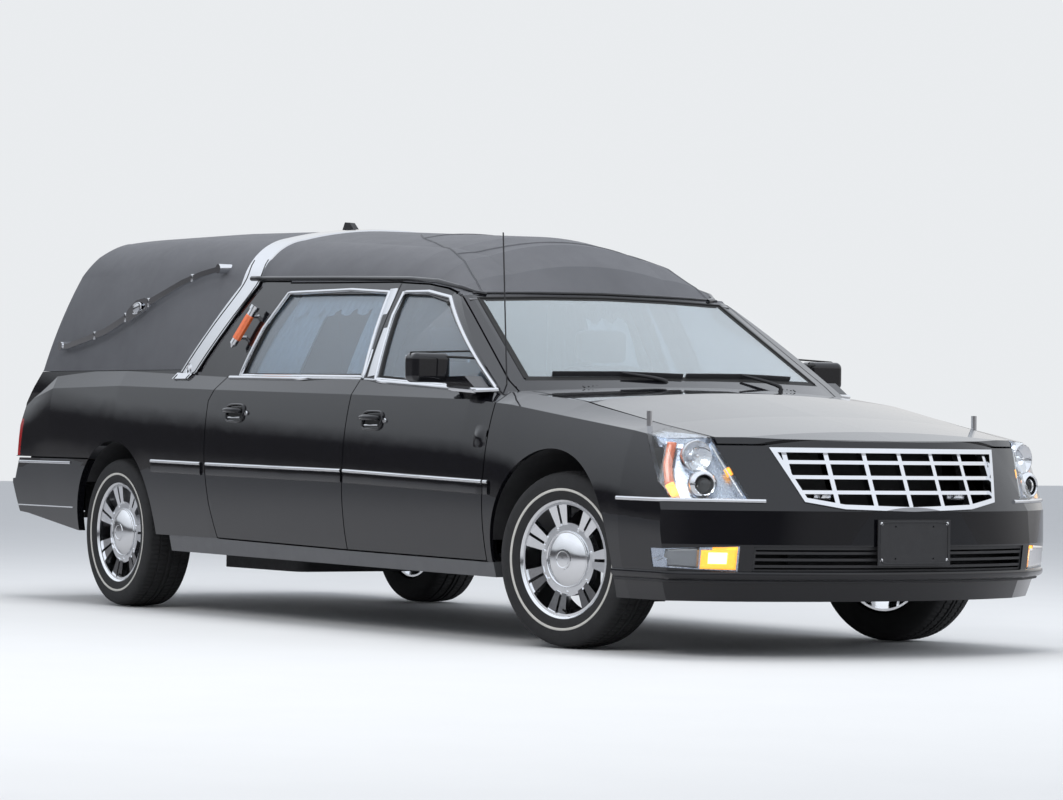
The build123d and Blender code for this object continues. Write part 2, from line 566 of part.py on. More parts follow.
dash = side_prism([(1480, 985), (1330, 992), (1262, 960), (1244, 880), (1290, 760), (1440, 700)], -749.7, 749.7)
whole["dashboard"] = dash - whole["floor_pan"] - both(half["cowl"]) - both(half["screen_frame"])


def seat(y):
    cushion = Pos(700, y, 520) * fillet(Box(520, 500, 130).edges(), 30)
    base = block(480, 900, y - 200, y + 200, 334, 480)
    back = Pos(400, y, 835) * Rot(0, -14, 0) * fillet(Box(110, 500, 620).edges(), 30)
    rest = Pos(322, y, 1215) * fillet(Box(80, 250, 150).edges(), 28)
    stalk = rod((345, y, 1080), (322, y, 1180), 10)
    return cushion + base + back + rest + stalk


half["front_seats"] = seat(-370)
WHEEL_AT = Plane(origin=(1080, 380, 925), z_dir=(-0.9, 0, 0.436))
steering = Solid.make_torus(185, 14, WHEEL_AT) + Solid.make_cylinder(48, 46, WHEEL_AT.offset(-40))
for a in (-90, 30, 150):
    steering += WHEEL_AT * (Rot(0, 0, a) * (Pos(105, 0, -8) * Box(150, 30, 14)))
whole["steering_wheel"] = steering
column = Solid.make_cylinder(38, 230, WHEEL_AT.offset(-40.3 - 230))
whole["dashboard"] = whole["dashboard"] + column

# Running gear
whole["engine_block"] = block(1760, 2360, -300, 300, 300, 800)
subframe = block(1620, 2800, -440, -370, 236, 300) + block(1620, 2800, 370, 440, 236, 300)
subframe += block(1900, 2000, -440, 440, 200, 300) + block(2700, 2780, -440, 440, 236, 300)
ARM_Z = 186.0
for s in (-1, 1):
    subframe += block(1915, 1985, min(s * 400, s * 690), max(s * 400, s * 690), ARM_Z - 8, ARM_Z + 14)
    subframe += rod((FRONT_X, s * KINGPIN_Y, ARM_Z - 8), (FRONT_X, s * KINGPIN_Y, ARM_Z + 14), 34)
    subframe += rod((FRONT_X, s * KINGPIN_Y, ARM_Z), (FRONT_X, s * KINGPIN_Y, ARM_Z + 60), 14)
whole["front_subframe"] = subframe
axle = rod((REAR_X, -690, AXLE_Z), (REAR_X, 690, AXLE_Z), 40) + Pos(REAR_X, 0, AXLE_Z) * Sphere(130)
for y in (-520, 520):
    axle += rod((REAR_X, y, AXLE_Z), (REAR_X, y, 559.7), 50)
whole["rear_axle"] = axle + rod((REAR_X, -830, AXLE_Z), (REAR_X, 830, AXLE_Z), 30)
whole["fuel_tank"] = fillet(block(-1300, -560, -640, 640, 204, 317.7).edges().filter_by(Axis.Z), 60)

# Wheels, made with the axis along y and the outer face towards -y
tyre = Solid.revolve(Face(Wire([
    line((0, 104, RIM_FLANGE_R), (0, 114, 270)),
    arc((0, 114, 270), (0, 117, 305), (0, 98, 338)),
    arc((0, 98, 338), (0, 60, 346), (0, 0, TYRE_R)),
    arc((0, 0, TYRE_R), (0, -60, 346), (0, -98, 338)),
    arc((0, -98, 338), (0, -117, 305), (0, -114, 270)),
    line((0, -114, 270), (0, -104, RIM_FLANGE_R)),
    line((0, -104, RIM_FLANGE_R), (0, -95, RIM_R)),
    line((0, -95, RIM_R), (0, 95, RIM_R)),
    line((0, 95, RIM_R), (0, 104, RIM_FLANGE_R)),
])), 360, Axis.Y)
barrel = rod((0, -RIM_W / 2, 0), (0, RIM_W / 2, 0), RIM_R) - rod((0, -RIM_W, 0), (0, RIM_W, 0), RIM_R - 9)
face = rod((0, -76, 0), (0, -46, 0), HUB_R)
cap = Solid.revolve(Face(Wire([
    line((0, -70, 0), (0, -104, 0)), arc((0, -104, 0), (CAP_R * 0.6, -99, 0), (CAP_R, -80, 0)),
    line((CAP_R, -80, 0), (CAP_R, -70, 0)), line((CAP_R, -70, 0), (0, -70, 0))])), 360, Axis.Y)
blade = poly_solid([(HUB_R - 8, -80, -12), (RIM_R - 4, -88, -22), (RIM_R - 4, -88, 22), (HUB_R - 8, -80, 12)], (0, 26, 0))
for k in range(SPOKES):
    for d in (-BLADE_TURN, BLADE_TURN):
        face += Rot(0, 360 * k / SPOKES + d, 0) * blade
rim = barrel + (face & rod((0, -200, 0), (0, 200, 0), RIM_R - 4)) + cap + rod((0, -60, 0), (0, -10, 0), 60)
rim = rim - rod((0, -50, 0), (0, 0, 0), 30.05)
stand_in = TRACK_FRONT / 2 - KINGPIN_Y
knuckle = rod((0, 0, -140), (0, 0, 120), 30) + rod((0, -stand_in - 50, 0), (0, 0, 0), 30)
knuckle += rod((0, -stand_in - 9, 0), (0, 0, 0), 52)
knuckle = knuckle - rod((0, 0, -150), (0, 0, -90), 14.05)


def at_front(solid, side):
    turned = Rot(0, 0, STEER_REST) * (solid if side < 0 else mirror(solid, Plane.XZ))
    return Pos(FRONT_X, side * KINGPIN_Y, AXLE_Z) * turned


for side, name in ((-1, "right"), (1, "left")):
    whole["knuckle_" + name] = at_front(knuckle, side)
    for part, solid in (("tyre", tyre), ("rim", rim)):
        whole["front_" + part + "_" + name] = at_front(Pos(0, -stand_in, 0) * solid, side)
        turned = solid if side < 0 else mirror(solid, Plane.XZ)
        whole["rear_" + part + "_" + name] = Pos(REAR_X, side * TRACK_REAR / 2, AXLE_Z) * turned

# Aerials
whole["antenna"] = rod((1436, -806, 985), (1391, -806, 1640), 3) - hull(0)
whole["roof_fin"] = side_prism([(-1340, 1745), (-1180, 1745), (-1255, 1804), (-1300, 1808)], -14, 14) - both(hull(0))

os.makedirs("parts", exist_ok=True)
for name, solid in half.items():
    whole[name] = both(solid)
for name, solid in right.items():
    whole[name + "_right"] = solid
    whole[name + "_left"] = mirror(solid, Plane.XZ)
for name, solid in whole.items():
    export_step(solid, "parts/" + name + ".step")
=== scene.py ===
import json
import math
import bpy
from mathutils import Vector, Matrix
from mathutils.bvhtree import BVHTree


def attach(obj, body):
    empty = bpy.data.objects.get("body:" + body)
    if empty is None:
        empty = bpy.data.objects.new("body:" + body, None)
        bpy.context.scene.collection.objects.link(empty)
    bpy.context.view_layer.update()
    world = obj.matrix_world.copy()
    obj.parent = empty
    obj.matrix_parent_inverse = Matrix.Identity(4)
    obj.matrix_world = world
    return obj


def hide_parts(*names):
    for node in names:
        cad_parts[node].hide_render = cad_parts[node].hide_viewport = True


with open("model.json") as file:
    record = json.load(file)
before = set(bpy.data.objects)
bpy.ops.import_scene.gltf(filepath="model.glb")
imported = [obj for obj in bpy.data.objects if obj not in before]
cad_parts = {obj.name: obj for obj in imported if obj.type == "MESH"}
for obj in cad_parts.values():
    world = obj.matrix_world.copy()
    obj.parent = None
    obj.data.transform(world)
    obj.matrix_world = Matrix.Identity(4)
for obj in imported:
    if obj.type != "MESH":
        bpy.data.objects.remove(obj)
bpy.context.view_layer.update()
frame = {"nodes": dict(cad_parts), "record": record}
nodes = frame["nodes"]
SIDES = (("right", -1), ("left", 1))


# Materials
def noise(node_tree, scale, detail=3.0, kind="ShaderNodeTexNoise"):
    coord = node_tree.nodes.new("ShaderNodeTexCoord")
    node = node_tree.nodes.new(kind)
    node.inputs["Scale"].default_value = scale
    if kind == "ShaderNodeTexNoise":
        node.inputs["Detail"].default_value = detail
    node_tree.links.new(coord.outputs["Object"], node.inputs["Vector"])
    return node.outputs["Fac"] if kind == "ShaderNodeTexNoise" else node.outputs["Distance"]


def material(name, color, rough, metal=0.0, vary=0.12, scale=9.0, rough_vary=0.06, grain=None,
        sockets=()):
    # color varies by vary and roughness by rough_vary. grain is (kind, scale, strength, distance).
    m = bpy.data.materials.new(name)
    m.use_nodes = True
    node_tree = m.node_tree
    shader = node_tree.nodes["Principled BSDF"]
    shader.inputs["Metallic"].default_value = metal
    ramp = node_tree.nodes.new("ShaderNodeMix")
    ramp.data_type = "RGBA"
    ramp.inputs["A"].default_value = (*[c * (1 - vary) for c in color], 1)
    ramp.inputs["B"].default_value = (*[min(1, c * (1 + vary)) for c in color], 1)
    node_tree.links.new(noise(node_tree, scale), ramp.inputs["Factor"])
    node_tree.links.new(ramp.outputs["Result"], shader.inputs["Base Color"])
    span = node_tree.nodes.new("ShaderNodeMapRange")
    span.inputs["To Min"].default_value = max(0.0, rough - rough_vary)
    span.inputs["To Max"].default_value = min(1.0, rough + rough_vary)
    node_tree.links.new(noise(node_tree, scale * 3.1, 5.0), span.inputs["Value"])
    node_tree.links.new(span.outputs["Result"], shader.inputs["Roughness"])
    if grain:
        kind, size, strength, distance = grain
        bump = node_tree.nodes.new("ShaderNodeBump")
        bump.inputs["Strength"].default_value = strength
        bump.inputs["Distance"].default_value = distance
        node_tree.links.new(noise(node_tree, size, 4.0, kind), bump.inputs["Height"])
        node_tree.links.new(bump.outputs["Normal"], shader.inputs["Normal"])
    for key, value in sockets:
        shader.inputs[key].default_value = value
    return m


NOISE, CELLS = "ShaderNodeTexNoise", "ShaderNodeTexVoronoi"
PAINT = material("gloss_black", (0.0040, 0.0040, 0.0055), 0.12, 0, 0.25, 3.0, 0.04,
    (NOISE, 9.0, 0.012, 0.002), (("Specular IOR Level", 0.15), ("Coat Weight", 1.0),
    ("Coat Roughness", 0.015)))
VINYL = material("vinyl", (0.085, 0.088, 0.098), 0.55, 0, 0.18, 6.0, 0.07,
    (CELLS, 520.0, 0.35, 0.0007))
CHROME = material("chrome", (0.83, 0.84, 0.86), 0.07, 1.0, 0.03, 20.0, 0.03,
    (NOISE, 40.0, 0.015, 0.001))
WHEEL = material("wheel_chrome", (0.93, 0.94, 0.96), 0.13, 1.0, 0.05, 30.0, 0.04,
    (NOISE, 60.0, 0.02, 0.001))
RUBBER = material("tyre_rubber", (0.018, 0.018, 0.019), 0.82, 0, 0.30, 25.0, 0.08,
    (NOISE, 300.0, 0.25, 0.0006))
WHITEWALL = material("whitewall", (0.50, 0.49, 0.46), 0.62, 0, 0.16, 18.0, 0.08,
    (NOISE, 200.0, 0.15, 0.0005))
# Base colour: partly the glass's own tint, partly a painted reflection of the sky, in light
# blue-grey.
TINTED_GLASS_WITH_PAINTED_SKY = material("tinted_glass", (0.40, 0.50, 0.60), 0.03, 0, 0.05, 4.0, 0.02, None,
    (("Transmission Weight", 0.90), ("IOR", 1.15), ("Coat Weight", 1.0), ("Coat IOR", 1.9),
    ("Coat Roughness", 0.01)))
# Base colour: partly the windscreen's own tint, partly a painted reflection of the sky, in light
# blue-grey.
SCREEN_TINT_WITH_PAINTED_SKY = material("screen_glass_painted_sky", (0.46, 0.54, 0.58), 0.03, 0, 0.04, 4.0, 0.02, None,
    (("Transmission Weight", 0.70), ("IOR", 1.2), ("Coat Weight", 1.0), ("Coat IOR", 1.9),
    ("Coat Roughness", 0.01)))
LENS = material("clear_lens", (0.94, 0.96, 0.98), 0.03, 0, 0.02, 8.0, 0.02, None,
    (("Transmission Weight", 1.0), ("IOR", 1.15), ("Coat Weight", 0.6)))
REFLECTOR = material("reflector", (0.88, 0.90, 0.93), 0.12, 1.0, 0.06, 60.0, 0.06,
    (CELLS, 160.0, 0.25, 0.002))
SMOKED = material("smoked_reflector", (0.30, 0.31, 0.32), 0.22, 0.7, 0.15, 60.0, 0.08,
    (CELLS, 200.0, 0.3, 0.001))
SILVER = material("lamp_bezel", (0.50, 0.56, 0.66), 0.28, 0.9, 0.06, 30.0, 0.08,
    (NOISE, 90.0, 0.05, 0.001))
AMBER = material("amber", (0.75, 0.16, 0.05), 0.20, 0, 0.15, 90.0, 0.06, (CELLS, 240.0, 0.3, 0.001),
    (("Coat Weight", 0.8), ("Coat Roughness", 0.05)))
LIT = material("amber_lit", (1.0, 0.42, 0.05), 0.25, 0, 0.15, 60.0, 0.05,
    (CELLS, 200.0, 0.4, 0.001), (("Emission Color", (1.0, 0.36, 0.03, 1)),
    ("Emission Strength", 1.6)))
RED = material("red_lens", (0.40, 0.008, 0.008), 0.12, 0, 0.25, 60.0, 0.04,
    (CELLS, 150.0, 0.35, 0.001), (("Coat Weight", 1.0), ("Coat Roughness", 0.04)))
SILL = material("sill_grey", (0.085, 0.088, 0.095), 0.34, 0.2, 0.15, 12.0, 0.06,
    (NOISE, 60.0, 0.06, 0.001), (("Coat Weight", 0.4),))
PLASTIC = material("black_plastic", (0.022, 0.022, 0.024), 0.52, 0, 0.20, 30.0, 0.08,
    (CELLS, 700.0, 0.3, 0.0005))
SEAL = material("rubber_seal", (0.012, 0.012, 0.012), 0.70, 0, 0.2, 40.0, 0.08,
    (NOISE, 250.0, 0.2, 0.0004))
LEATHER = material("seat_leather", (0.16, 0.155, 0.15), 0.50, 0, 0.14, 14.0, 0.08,
    (CELLS, 380.0, 0.35, 0.0007))
CURTAIN = material("curtain_cloth", (0.86, 0.88, 0.90), 0.80, 0, 0.08, 50.0, 0.06,
    (NOISE, 900.0, 0.3, 0.0004), (("Sheen Weight", 0.5),))
UNDER = material("underbody", (0.03, 0.03, 0.032), 0.75, 0.2, 0.35, 14.0, 0.12,
    (NOISE, 120.0, 0.4, 0.001))
CAST = material("cast_metal", (0.20, 0.20, 0.21), 0.45, 0.9, 0.25, 30.0, 0.12,
    (NOISE, 160.0, 0.4, 0.001))
WOOD = material("deck_laminate", (0.11, 0.055, 0.028), 0.30, 0, 0.30, 7.0, 0.06,
    (NOISE, 60.0, 0.05, 0.0005), (("Coat Weight", 0.5),))
DARK = material("dark_mesh", (0.006, 0.006, 0.007), 0.6, 0, 0.3, 40.0, 0.08,
    (CELLS, 220.0, 0.5, 0.002))
MIRROR = material("mirror_glass", (0.78, 0.82, 0.86), 0.03, 1.0, 0.02, 6.0, 0.02)
BULB = material("bulb_glow", (1.0, 0.80, 0.55), 0.3, 0, 0.05, 40.0, 0.05, None,
    (("Emission Color", (1.0, 0.72, 0.35, 1)), ("Emission Strength", 2.2)))

by_slot = {"black_paint": PAINT, "vinyl": VINYL, "chrome": CHROME, "wheel_chrome": WHEEL,
    "rubber": RUBBER, "tinted_glass": TINTED_GLASS_WITH_PAINTED_SKY, "lens": LENS, "lamp_body": SILVER, "lamp_red": RED,
    "sill_grey": SILL, "black_plastic": PLASTIC, "seat": LEATHER, "deck": WOOD, "underbody": UNDER}
for part in frame["record"]["subparts"]:
    mesh = nodes[part["node"]].data
    mesh.materials.clear()
    mesh.materials.append(by_slot[part["material_slot"]])
for name, m in (("windscreen", SCREEN_TINT_WITH_PAINTED_SKY), ("radiator", DARK), ("engine_block", CAST)):
    nodes[name].data.materials[0] = m


# Meshes
def add(name, verts, faces, mat, body, slot=None, smooth=35.0):
    # Edges sharper than smooth, in degrees, stay sharp; at 180 none does.
    mesh = bpy.data.meshes.new(name)
    mesh.from_pydata([tuple(v) for v in verts], [], faces)
    mesh.validate()
    obj = bpy.data.objects.new(name, mesh)
    bpy.context.scene.collection.objects.link(obj)
    mesh.materials.append(mat)
    for poly in mesh.polygons:
        poly.use_smooth = smooth > 0
    if 0 < smooth < 180:
        mesh.set_sharp_from_angle(angle=math.radians(smooth))
    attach(obj, body)
    return obj


def both(name, verts, faces, mat, body, slot=None, smooth=35.0):
    # The right-hand piece and its mirror image. "_S" in the body's name becomes the side.
    out = []
    for side, s in SIDES:
        v = [Vector((p[0], p[1] * -s, p[2])) for p in verts]
        f = faces if s < 0 else [tuple(reversed(q)) for q in faces]
        out.append(add(name + "_" + side, v, f, mat, body.replace("_S", "_" + side), slot, smooth))
    return out


def tree(*names):
    # What rays are cast against: the named nodes together.
    verts, polys = [], []
    for n in names:
        base = len(verts)
        verts += [v.co.copy() for v in nodes[n].data.vertices]
        polys += [[base + i for i in p.vertices] for p in nodes[n].data.polygons]
    return BVHTree.FromPolygons(verts, polys)


def dense(points, step):
    # The points, with more between them, about step apart.
    out = []
    for a, b in zip(points, points[1:]):
        a, b = Vector(a), Vector(b)
        n = max(1, int((b - a).length / step))
        out += [a.lerp(b, i / n) for i in range(n)]
    return out + [Vector(points[-1])]


def smooth_path(points, step=0.02):
    # Catmull-Rom through the points.
    pts = [Vector(p) for p in points]
    pts = [pts[0] * 2 - pts[1]] + pts + [pts[-1] * 2 - pts[-2]]
    out = []
    for i in range(1, len(pts) - 2):
        p0, p1, p2, p3 = pts[i - 1:i + 3]
        n = max(2, int((p2 - p1).length / step))
        for k in range(n):
            t = k / n
            out.append(0.5 * ((2 * p1) + (p2 - p0) * t + (2 * p0 - 5 * p1 + 4 * p2 - p3) * t * t
                + (3 * p1 - p0 - 3 * p2 + p3) * t ** 3))
    return out + [pts[-2]]


# Where each cast starts and which way its rays run
CASTS = {
    "side": (Vector((0, -2, 0)), Vector((0, 1, 0))),
    "front": (Vector((5, 0, 0)), Vector((-1, 0, 0))),
    "top": (Vector((0, 0, 3)), Vector((0, 0, -1))),
    "rear": (Vector((-5, 0, 0)), Vector((1, 0, 0))),
    "inside": (Vector((0, 0, 0)), Vector((0, -1, 0)))}


def fall(surface, point, cast):
    # Where a point lands on the surface, and the way out of the surface there.
    offset, way = CASTS[cast]
    p = Vector([0 if way[i] else point[i] for i in range(3)]) + offset
    hit, normal, _, _ = surface.ray_cast(p, way)
    if hit is None:
        return None
    return hit, (normal if normal.dot(way) < 0 else -normal)


HALF_ROUND = ((-0.5, 0.0), (-0.42, 0.62), (-0.22, 0.92), (0.0, 1.0), (0.22, 0.92), (0.42, 0.62),
    (0.5, 0.0))
FLAT = ((-0.5, 0.0), (-0.47, 0.75), (-0.36, 1.0), (0.36, 1.0), (0.47, 0.75), (0.5, 0.0))


def strip_mesh(spots, width, height, profile=HALF_ROUND, closed=False, lift=0.0, sink=0.001):
    # A bar lying on the spots (place, way out), with the ways out averaged over five spots.
    n = len(spots)
    out_v, out_f = [], []
    k = len(profile) + 2
    for i in range(n):
        p, up = spots[i]
        ups = [spots[j % n if closed else min(max(j, 0), n - 1)][1] for j in range(i - 2, i + 3)]
        up = sum(ups, Vector()).normalized()
        before = spots[(i - 1) % n if closed else max(i - 1, 0)][0]
        after = spots[(i + 1) % n if closed else min(i + 1, n - 1)][0]
        along = (after - before).normalized()
        across = along.cross(up).normalized()
        up = across.cross(along).normalized()
        w = width(i / max(1, n - 1)) if callable(width) else width
        foot = -sink / height
        ring = [(profile[0][0], foot)] + list(profile) + [(profile[-1][0], foot)]
        out_v += [p + across * (a * w) + up * (b * height + lift) for a, b in ring]
    for i in range(n if closed else n - 1):
        a, b = i * k, ((i + 1) % n) * k
        out_f += [(a + j, b + j, b + (j + 1) % k, a + (j + 1) % k) for j in range(k)]
    if not closed:
        out_f += [tuple(range(k)), tuple(reversed(range((n - 1) * k, n * k)))]
    return out_v, out_f


def tube(points, radius, sides=10):
    # A capped round bar. radius may be a function of the share of its length.
    pts = [Vector(p) for p in points]
    verts, faces = [], []
    n = len(pts)
    ref = Vector((0, 0, 1))
    for i, p in enumerate(pts):
        along = (pts[min(i + 1, n - 1)] - pts[max(i - 1, 0)]).normalized()
        if abs(along.dot(ref)) > 0.95:
            ref = Vector((1, 0, 0))
        a = along.cross(ref).normalized()
        b = along.cross(a)
        ref = -b if ref.dot(b) < 0 else b
        r = radius(i / (n - 1)) if callable(radius) else radius
        verts += [p + (a * math.cos(t) + b * math.sin(t)) * r for t in [2 * math.pi * j / sides
            for j in range(sides)]]
    for i in range(n - 1):
        for j in range(sides):
            k = (j + 1) % sides
            faces.append((i * sides + j, i * sides + k, (i + 1) * sides + k, (i + 1) * sides + j))
    faces += [tuple(reversed(range(sides))), tuple(range((n - 1) * sides, n * sides))]
    return verts, faces


def lathe(profile, turns, place):
    # Revolves (radius, height) about place's z axis.
    verts, faces = [], []
    k = len(profile)
    for i in range(turns):
        a = 2 * math.pi * i / turns
        verts += [place @ Vector((r * math.cos(a), r * math.sin(a), h)) for r, h in profile]
    for i in range(turns):
        a, b = i * k, ((i + 1) % turns) * k
        faces += [(a + j, b + j, b + j + 1, a + j + 1) for j in range(k - 1)]
    return verts, faces


def rounded_box(lo, hi, r, place=Matrix(), cuts=3):
    # A box whose edges are rounded by r.
    verts, faces = [], []
    lo, hi = Vector(lo), Vector(hi)
    n = cuts * 2 + 2

    def steps(i):
        a = [lo[i] + r - r * math.cos(math.pi / 2 * k / cuts) for k in range(cuts + 1)]
        return a + [lo[i] + hi[i] - v for v in reversed(a)]

    grid = [steps(i) for i in range(3)]
    index = {}

    def vert(i, j, k):
        if (i, j, k) not in index:
            p = Vector((grid[0][i], grid[1][j], grid[2][k]))
            core = Vector([min(max(p[a], lo[a] + r), hi[a] - r) for a in range(3)])
            d = p - core
            if d.length > 1e-9:
                p = core + d.normalized() * r
            index[(i, j, k)] = len(verts)
            verts.append(place @ p)
        return index[(i, j, k)]

    for i in range(n - 1):
        for j in range(n - 1):
            for side, flip in ((0, True), (n - 1, False)):
                for q in ([(i, j, side), (i + 1, j, side), (i + 1, j + 1, side), (i, j + 1, side)],
                        [(side, i, j), (side, i + 1, j), (side, i + 1, j + 1), (side, i, j + 1)],
                        [(j, side, i), (j, side, i + 1), (j + 1, side, i + 1), (j + 1, side, i)]):
                    f = [vert(*c) for c in q]
                    faces.append(tuple(reversed(f)) if flip else tuple(f))
    return verts, faces


def join(*parts):
    # Several meshes as one.
    verts, faces = [], []
    for v, f in parts:
        base = len(verts)
        verts += v
        faces += [tuple(base + i for i in q) for q in f]
    return verts, faces


def patch(surface, outline, cast, step, lift=0.0, depth=0.0):
    # A sheet over the surface inside four corners, lifted by lift and closed to depth behind.
    a, b, c, d = [Vector(p) for p in outline]
    nu = max(2, int((b - a).length / step))
    nv = max(2, int((d - a).length / step))
    spots = [fall(surface, a.lerp(b, i / nu).lerp(d.lerp(c, i / nu), j / nv), cast)
        for j in range(nv + 1) for i in range(nu + 1)]
    number, verts = {}, []
    for k, spot in enumerate(spots):
        if spot:
            number[k] = len(verts)
            verts.append(spot[0] + spot[1] * lift)
    w = nu + 1
    cells = [(j * w + i, j * w + i + 1, (j + 1) * w + i + 1, (j + 1) * w + i) for j in range(nv)
        for i in range(nu)]
    faces = [tuple(number[k] for k in cell) for cell in cells if all(k in number for k in cell)]
    return closed(verts, faces, CASTS[cast][1] * depth) if depth else (verts, faces)


def rim_edges(faces):
    # The edges that have a face on one side only.
    edges = {e for f in faces for e in zip(f, f[1:] + f[:1])}
    return [e for e in edges if (e[1], e[0]) not in edges]


def closed(verts, faces, back):
    # The sheet closed into a solid that reaches to back.
    base = len(verts)
    sides = [(b, a, base + a, base + b) for a, b in sorted(rim_edges(faces))]
    return (verts + [v + back for v in verts], faces + [tuple(base + i for i in reversed(f))
        for f in faces] + sides)


def drop(surface, points, cast="side"):
    # The spots where the points land, without those that miss.
    return [s for s in (fall(surface, p, cast) for p in points) if s]


def side_path(points, step=0.02):
    # From (x, z) pairs in the side view.
    return dense([(x, 0, z) for x, z in points], step)


def front_path(points, step=0.015):
    return dense([(0, y, z) for y, z in points], step)


def around(surface, centre, z, a0, a1, count):
    # Spots where rays to an upright axis at centre (x, y) meet the surface, from a0 to a1 degrees.
    out = []
    for i in range(count + 1):
        t = math.radians(a0 + (a1 - a0) * i / count)
        d = Vector((math.cos(t), math.sin(t), 0))
        h = z(i / count) if callable(z) else z
        hit, normal, _, _ = surface.ray_cast(Vector((centre[0], centre[1], h)) + d * 3, -d)
        if hit is not None:
            out.append((hit, normal if normal.dot(d) > 0 else -normal))
    return out


def ring_spots(surface, centre, half, corner, cast, count=40):
    # A rounded rectangle round centre (x or y, z) in that cast's view.
    out = []
    for i in range(count):
        t = 2 * math.pi * i / count
        c, s = math.cos(t), math.sin(t)
        u = math.copysign(abs(c) ** corner, c) * half[0] + centre[0]
        v = math.copysign(abs(s) ** corner, s) * half[1] + centre[1]
        out.append((u, 0, v) if cast == "side" else (0, u, v))
    return drop(surface, out, cast)


SHEAR, DOOR_Y = 0.25, -0.9


def on_door(surface, x, z):
    # A door's outlines lean forward by SHEAR inboard of y = DOOR_Y.
    y = DOOR_Y
    for _ in range(4):
        spot = fall(surface, (x + SHEAR * (y - DOOR_Y), 0, z), "side")
        if spot is None:
            break
        y = spot[0].y
    return (x + SHEAR * (y - DOOR_Y), 0, z)


door_f, door_r = tree("front_door_right"), tree("rear_door_right")
full_f = tree("front_door_right", "front_door_glass_right")
full_r = tree("rear_door_right", "rear_door_glass_right")
quarter_t, fender_t, roof_t = tree("quarter_right"), tree("fender_right"), tree("roof", "roof_band")
landau_t, lamps_t, back_t = tree("landau_bars"), tree("tail_lamps"), tree("back_door")
bumper_t, rear_t = tree("front_bumper"), tree("rear_bumper")


BELT_START, BELT_BEND = -0.86, 0.342


def belt(x):
    # The belt line's height, which falls faster ahead of the pillar between the doors.
    if x < BELT_BEND:
        return 1.0655 - 0.0115 * (x - BELT_START)
    return 1.0517 - 0.048 * (x - BELT_BEND)


def belt_path(x0, x1):
    return side_path([(x0 + (x1 - x0) * i / 12, belt(x0 + (x1 - x0) * i / 12)) for i in range(13)])


# Belt, side and drip mouldings
SIDE_RUNS = (("quarter", quarter_t, "body", (-1.418, 0.6845), (-0.925, 0.6785)),
    ("rear_door", door_r, "rear_door_S", (-0.868, 0.6775), (0.350, 0.6665)),
    ("front_door", door_f, "front_door_S", (0.376, 0.6662), (1.478, 0.6400)),
    ("fender", fender_t, "body", (1.498, 0.6395), (1.530, 0.6388)))
for name, surface, body, a, b in SIDE_RUNS:
    low = [(a[0], a[1] - 0.022), (b[0], b[1] - 0.022)]
    both("cladding_" + name, *strip_mesh(drop(surface, side_path(low)), 0.058, 0.008, FLAT), PAINT,
        body, "black_paint")
    both("side_moulding_" + name, *strip_mesh(drop(surface, side_path([a, b])), 0.017, 0.013),
        CHROME, body, "chrome")
for name, surface, body, x0, x1 in (("rear_door", door_r, "rear_door_S", -0.832, 0.337),
        ("front_door", door_f, "front_door_S", 0.357, 1.385)):
    both("belt_moulding_" + name, *strip_mesh(drop(surface, belt_path(x0, x1)), 0.020, 0.009),
        CHROME, body, "chrome")
quarter_line = side_path([(-2.70, 1.103), (-1.335, 1.103), (-1.30, 1.097)])
both("vinyl_moulding", *strip_mesh(drop(tree("roof", "quarter_right"), quarter_line), 0.020, 0.009),
    CHROME, "body", "chrome")
drip = side_path([(-0.935, 1.515), (-0.144, 1.497), (0.40, 1.482), (0.62, 1.467), (0.78, 1.437),
    (0.885, 1.402)])
both("drip_rail", *strip_mesh(drop(roof_t, drip), 0.022, 0.010, lift=0.001), PAINT, "body",
    "black_paint")

# Window surrounds and the bright pillars between the doors
REAR_WINDOW = [(-0.744, 1.078), (-0.630, 1.434), (-0.100, 1.428), (0.222, 1.420), (0.312, 1.068)]
FRONT_WINDOW = [(0.452, 1.062), (0.352, 1.416), (0.560, 1.408), (0.716, 1.376), (1.400, 1.010)]


def window_ring(surface, outline, grow):
    # The window outline in (x, z), moved out from its middle by grow.
    mid = [sum(p[i] for p in outline) / len(outline) for i in (0, 1)]
    pts = []
    for i, (x, z) in enumerate(outline + outline[:1]):
        d = math.hypot(x - mid[0], z - mid[1])
        pts.append((x + (x - mid[0]) / d * grow, z + (z - mid[1]) / d * grow))
    flat = dense([(x, 0, z) for x, z in pts], 0.02)
    return [on_door(surface, p.x, p.z) for p in flat[:-1]]


for name, solid, full, outline, body in (("rear", door_r, full_r, REAR_WINDOW, "rear_door_S"),
        ("front", door_f, full_f, FRONT_WINDOW, "front_door_S")):
    both("window_trim_" + name, *strip_mesh(drop(solid, window_ring(full, outline, 0.018)), 0.020,
        0.010, closed=True), CHROME, body, "chrome")
    both("window_seal_" + name, *strip_mesh(drop(full, window_ring(full, outline, -0.002)), 0.012,
        0.006, closed=True), SEAL, body, "black_plastic")


def pillar(surface, a, b, w0, w1):
    # A flat bar from a to b, which runs from w0 to w1 wide.
    pts = [on_door(surface, a[0] + (b[0] - a[0]) * i / 16, a[1] + (b[1] - a[1]) * i / 16)
        for i in range(17)]
    return strip_mesh(drop(surface, pts), lambda t: w0 + (w1 - w0) * t, 0.004, FLAT, lift=0.0025,
        sink=0.006)


both("pillar_trim_rear", *pillar(door_r, (0.3225, 1.068), (0.262, 1.440), 0.026, 0.060), CHROME,
    "rear_door_S", "chrome")
both("pillar_trim_front", *pillar(door_f, (0.404, 1.066), (0.3245, 1.428), 0.076, 0.040), CHROME,
    "front_door_S", "chrome")

